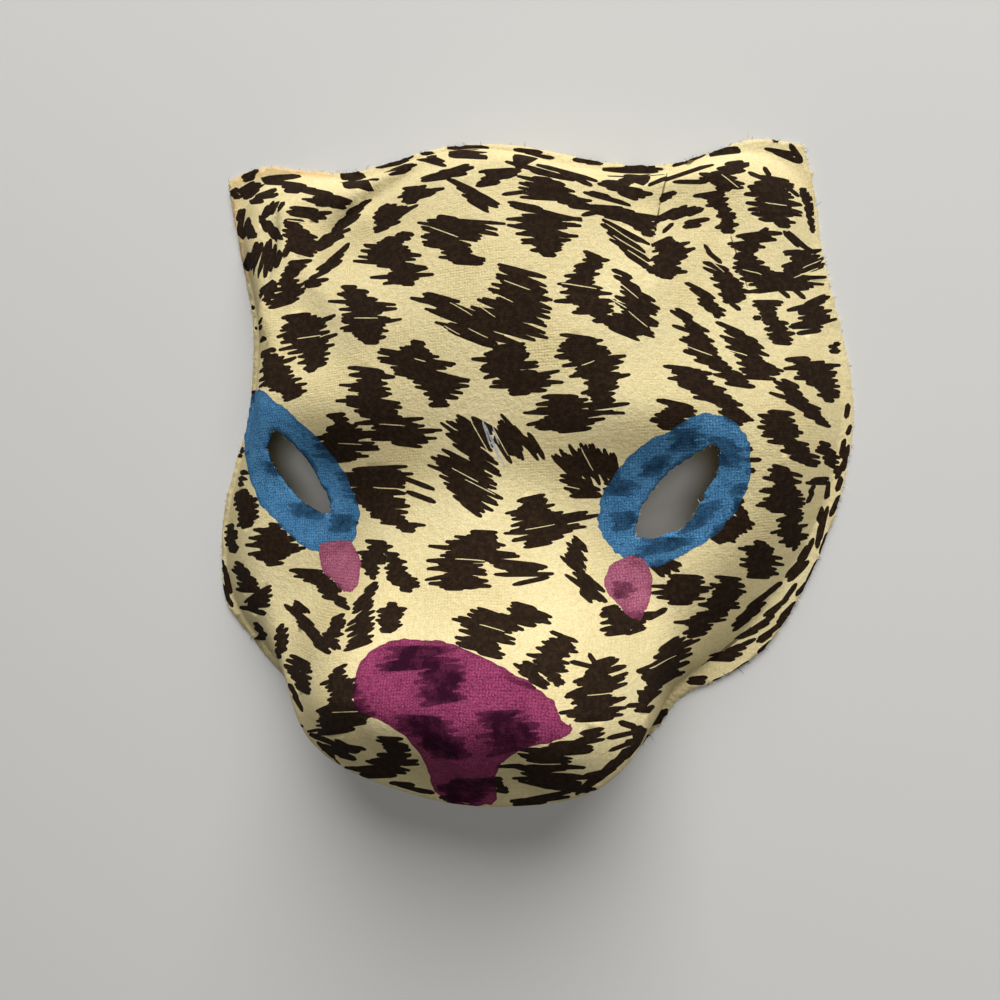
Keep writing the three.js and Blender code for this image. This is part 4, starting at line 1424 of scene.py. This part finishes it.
def make_fibres(rim, holes):
    """Short threads and hairs that stand out from the raw edges of the cloth."""
    threads = bpy.data.curves.new("threads", "CURVE")
    threads.dimensions = "3D"
    threads.bevel_depth = FIBRE_RADIUS * MM
    threads.bevel_resolution = 0
    threads.use_fill_caps = True
    threads.materials.append(cotton_fibre("loose_cotton_fibres", "#efe2b6"))
    threads.materials.append(cotton_fibre("printed_cotton_fibres", "#3a2a1c"))
    for ring, (count, reach, dark) in [(rim, RIM_FIBRES)] + [(hole, HOLE_FIBRES) for hole in holes]:
        outward = ring is rim
        way = np.roll(ring, -1, axis=0) - ring
        for trial in range(count):
            number = int(chance.integers(len(ring)))
            start = ring[number] + way[number] * chance.random()
            out = np.array([way[number][1], -way[number][0]])
            out = out / max(np.hypot(*out), 1e-6)
            away = start if outward else ring.mean(axis=0) - start
            if out @ away < 0:
                out = -out
            long = reach * chance.uniform(*FIBRE_LENGTHS)
            if chance.random() < LONG_SHARE:
                long *= LONG_TIMES
            places = grow_fibre(start - out * ROOT_INSIDE, out, long)
            spline = threads.splines.new("POLY")
            spline.points.add(FIBRE_STEPS - 1)
            for point, place, wide in zip(spline.points, places, np.linspace(1, FIBRE_TIP, FIBRE_STEPS)):
                point.co = (*place * MM, 1.0)
                point.radius = wide
            spline.material_index = int(chance.random() < dark)
    drawn = bpy.data.objects.new("threads", threads)
    mesh = bpy.data.meshes.new_from_object(drawn)
    mesh.name = "frayed_edge"
    mesh.shade_smooth()
    bpy.data.objects.remove(drawn)
    return placed("frayed_edge", mesh)


def grow_fibre(start, out, long):
    """The points that one curling hair follows."""
    root = from_flat(start, quick_height)
    point = root - np.array([0, 0, chance.uniform(*ROOT_DEPTHS)])
    heading = from_flat(start + out * ROOT_STEP, quick_height) - root
    heading = heading / np.linalg.norm(heading) + chance.normal(0, CURL, 3)
    curl = chance.normal(0, CURL, 3)
    places = []
    for step in range(FIBRE_STEPS):
        places.append(np.array([point[0], point[1], max(point[2], FIBRE_CLEARANCE)]))
        heading = heading / np.linalg.norm(heading)
        point = point + heading * (long + ROOT_INSIDE) / (FIBRE_STEPS - 1)
        heading = heading + curl
    return places


# The room, in metres: the board that the mask lies on, and where the soft lights are, their
# sizes and their power in watts. Then the colour and strength of the light all round.
FLOOR_WIDTH = 6.0
WINDOW = {"place": (0.30, 2.05, 1.34), "size": 2.3, "power": 108}
CEILING = {"place": (0.26, 0.06, 1.2), "size": 0.6, "power": 4.2}
ROOM_COLOUR = "#eef0f2"
ROOM_LIGHT = 0.045


def floor_and_light():
    mesh = bpy.data.meshes.new("floor")
    half = FLOOR_WIDTH / 2
    corners = [(-half, -half, 0), (half, -half, 0), (half, half, 0), (-half, half, 0)]
    mesh.from_pydata(corners, [], [(0, 1, 2, 3)])
    mesh.materials.append(plain_material("pale_painted_board", "#c0bfbc", 0.9, 0.2))
    placed("floor", mesh)

    world = bpy.data.worlds.new("studio")
    world.use_nodes = True
    background = world.node_tree.nodes["Background"]
    background.inputs["Color"].default_value = hexes(ROOM_COLOUR)
    background.inputs["Strength"].default_value = ROOM_LIGHT
    bpy.context.scene.world = world
    bpy.context.scene.view_settings.view_transform = "Standard"
    soft_light("window", **WINDOW)
    soft_light("ceiling", **CEILING)


def soft_light(name, place, size, power):
    """A round soft light that faces the mask."""
    data = bpy.data.lights.new(name, "AREA")
    data.shape = "DISK"
    data.size = size
    data.energy = power
    lamp = placed(name, data)
    lamp.location = place
    lamp.rotation_euler = (-Vector(place)).to_track_quat("-Z", "Y").to_euler()


SENSOR_WIDTH = 36


def make_camera():
    data = bpy.data.cameras.new("photo_camera")
    data.sensor_width = SENSOR_WIDTH
    data.lens = LENS * SENSOR_WIDTH / FRAME
    data.clip_start = 0.01
    camera = placed("photo_camera", data)
    axes = Matrix((tuple(RIGHT), tuple(UP), tuple(-FORWARD))).transposed()
    camera.matrix_world = Matrix.Translation(Vector(EYE * MM)) @ axes.to_4x4()
    bpy.context.scene.camera = camera


make_camera()
floor_and_light()
rim, holes = cut_edges()
cloth = make_cloth(rim, holes)
fibres = make_fibres(rim, holes)
for piece in (cloth, fibres):
    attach(piece, "root")
    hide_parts("mask_shell")
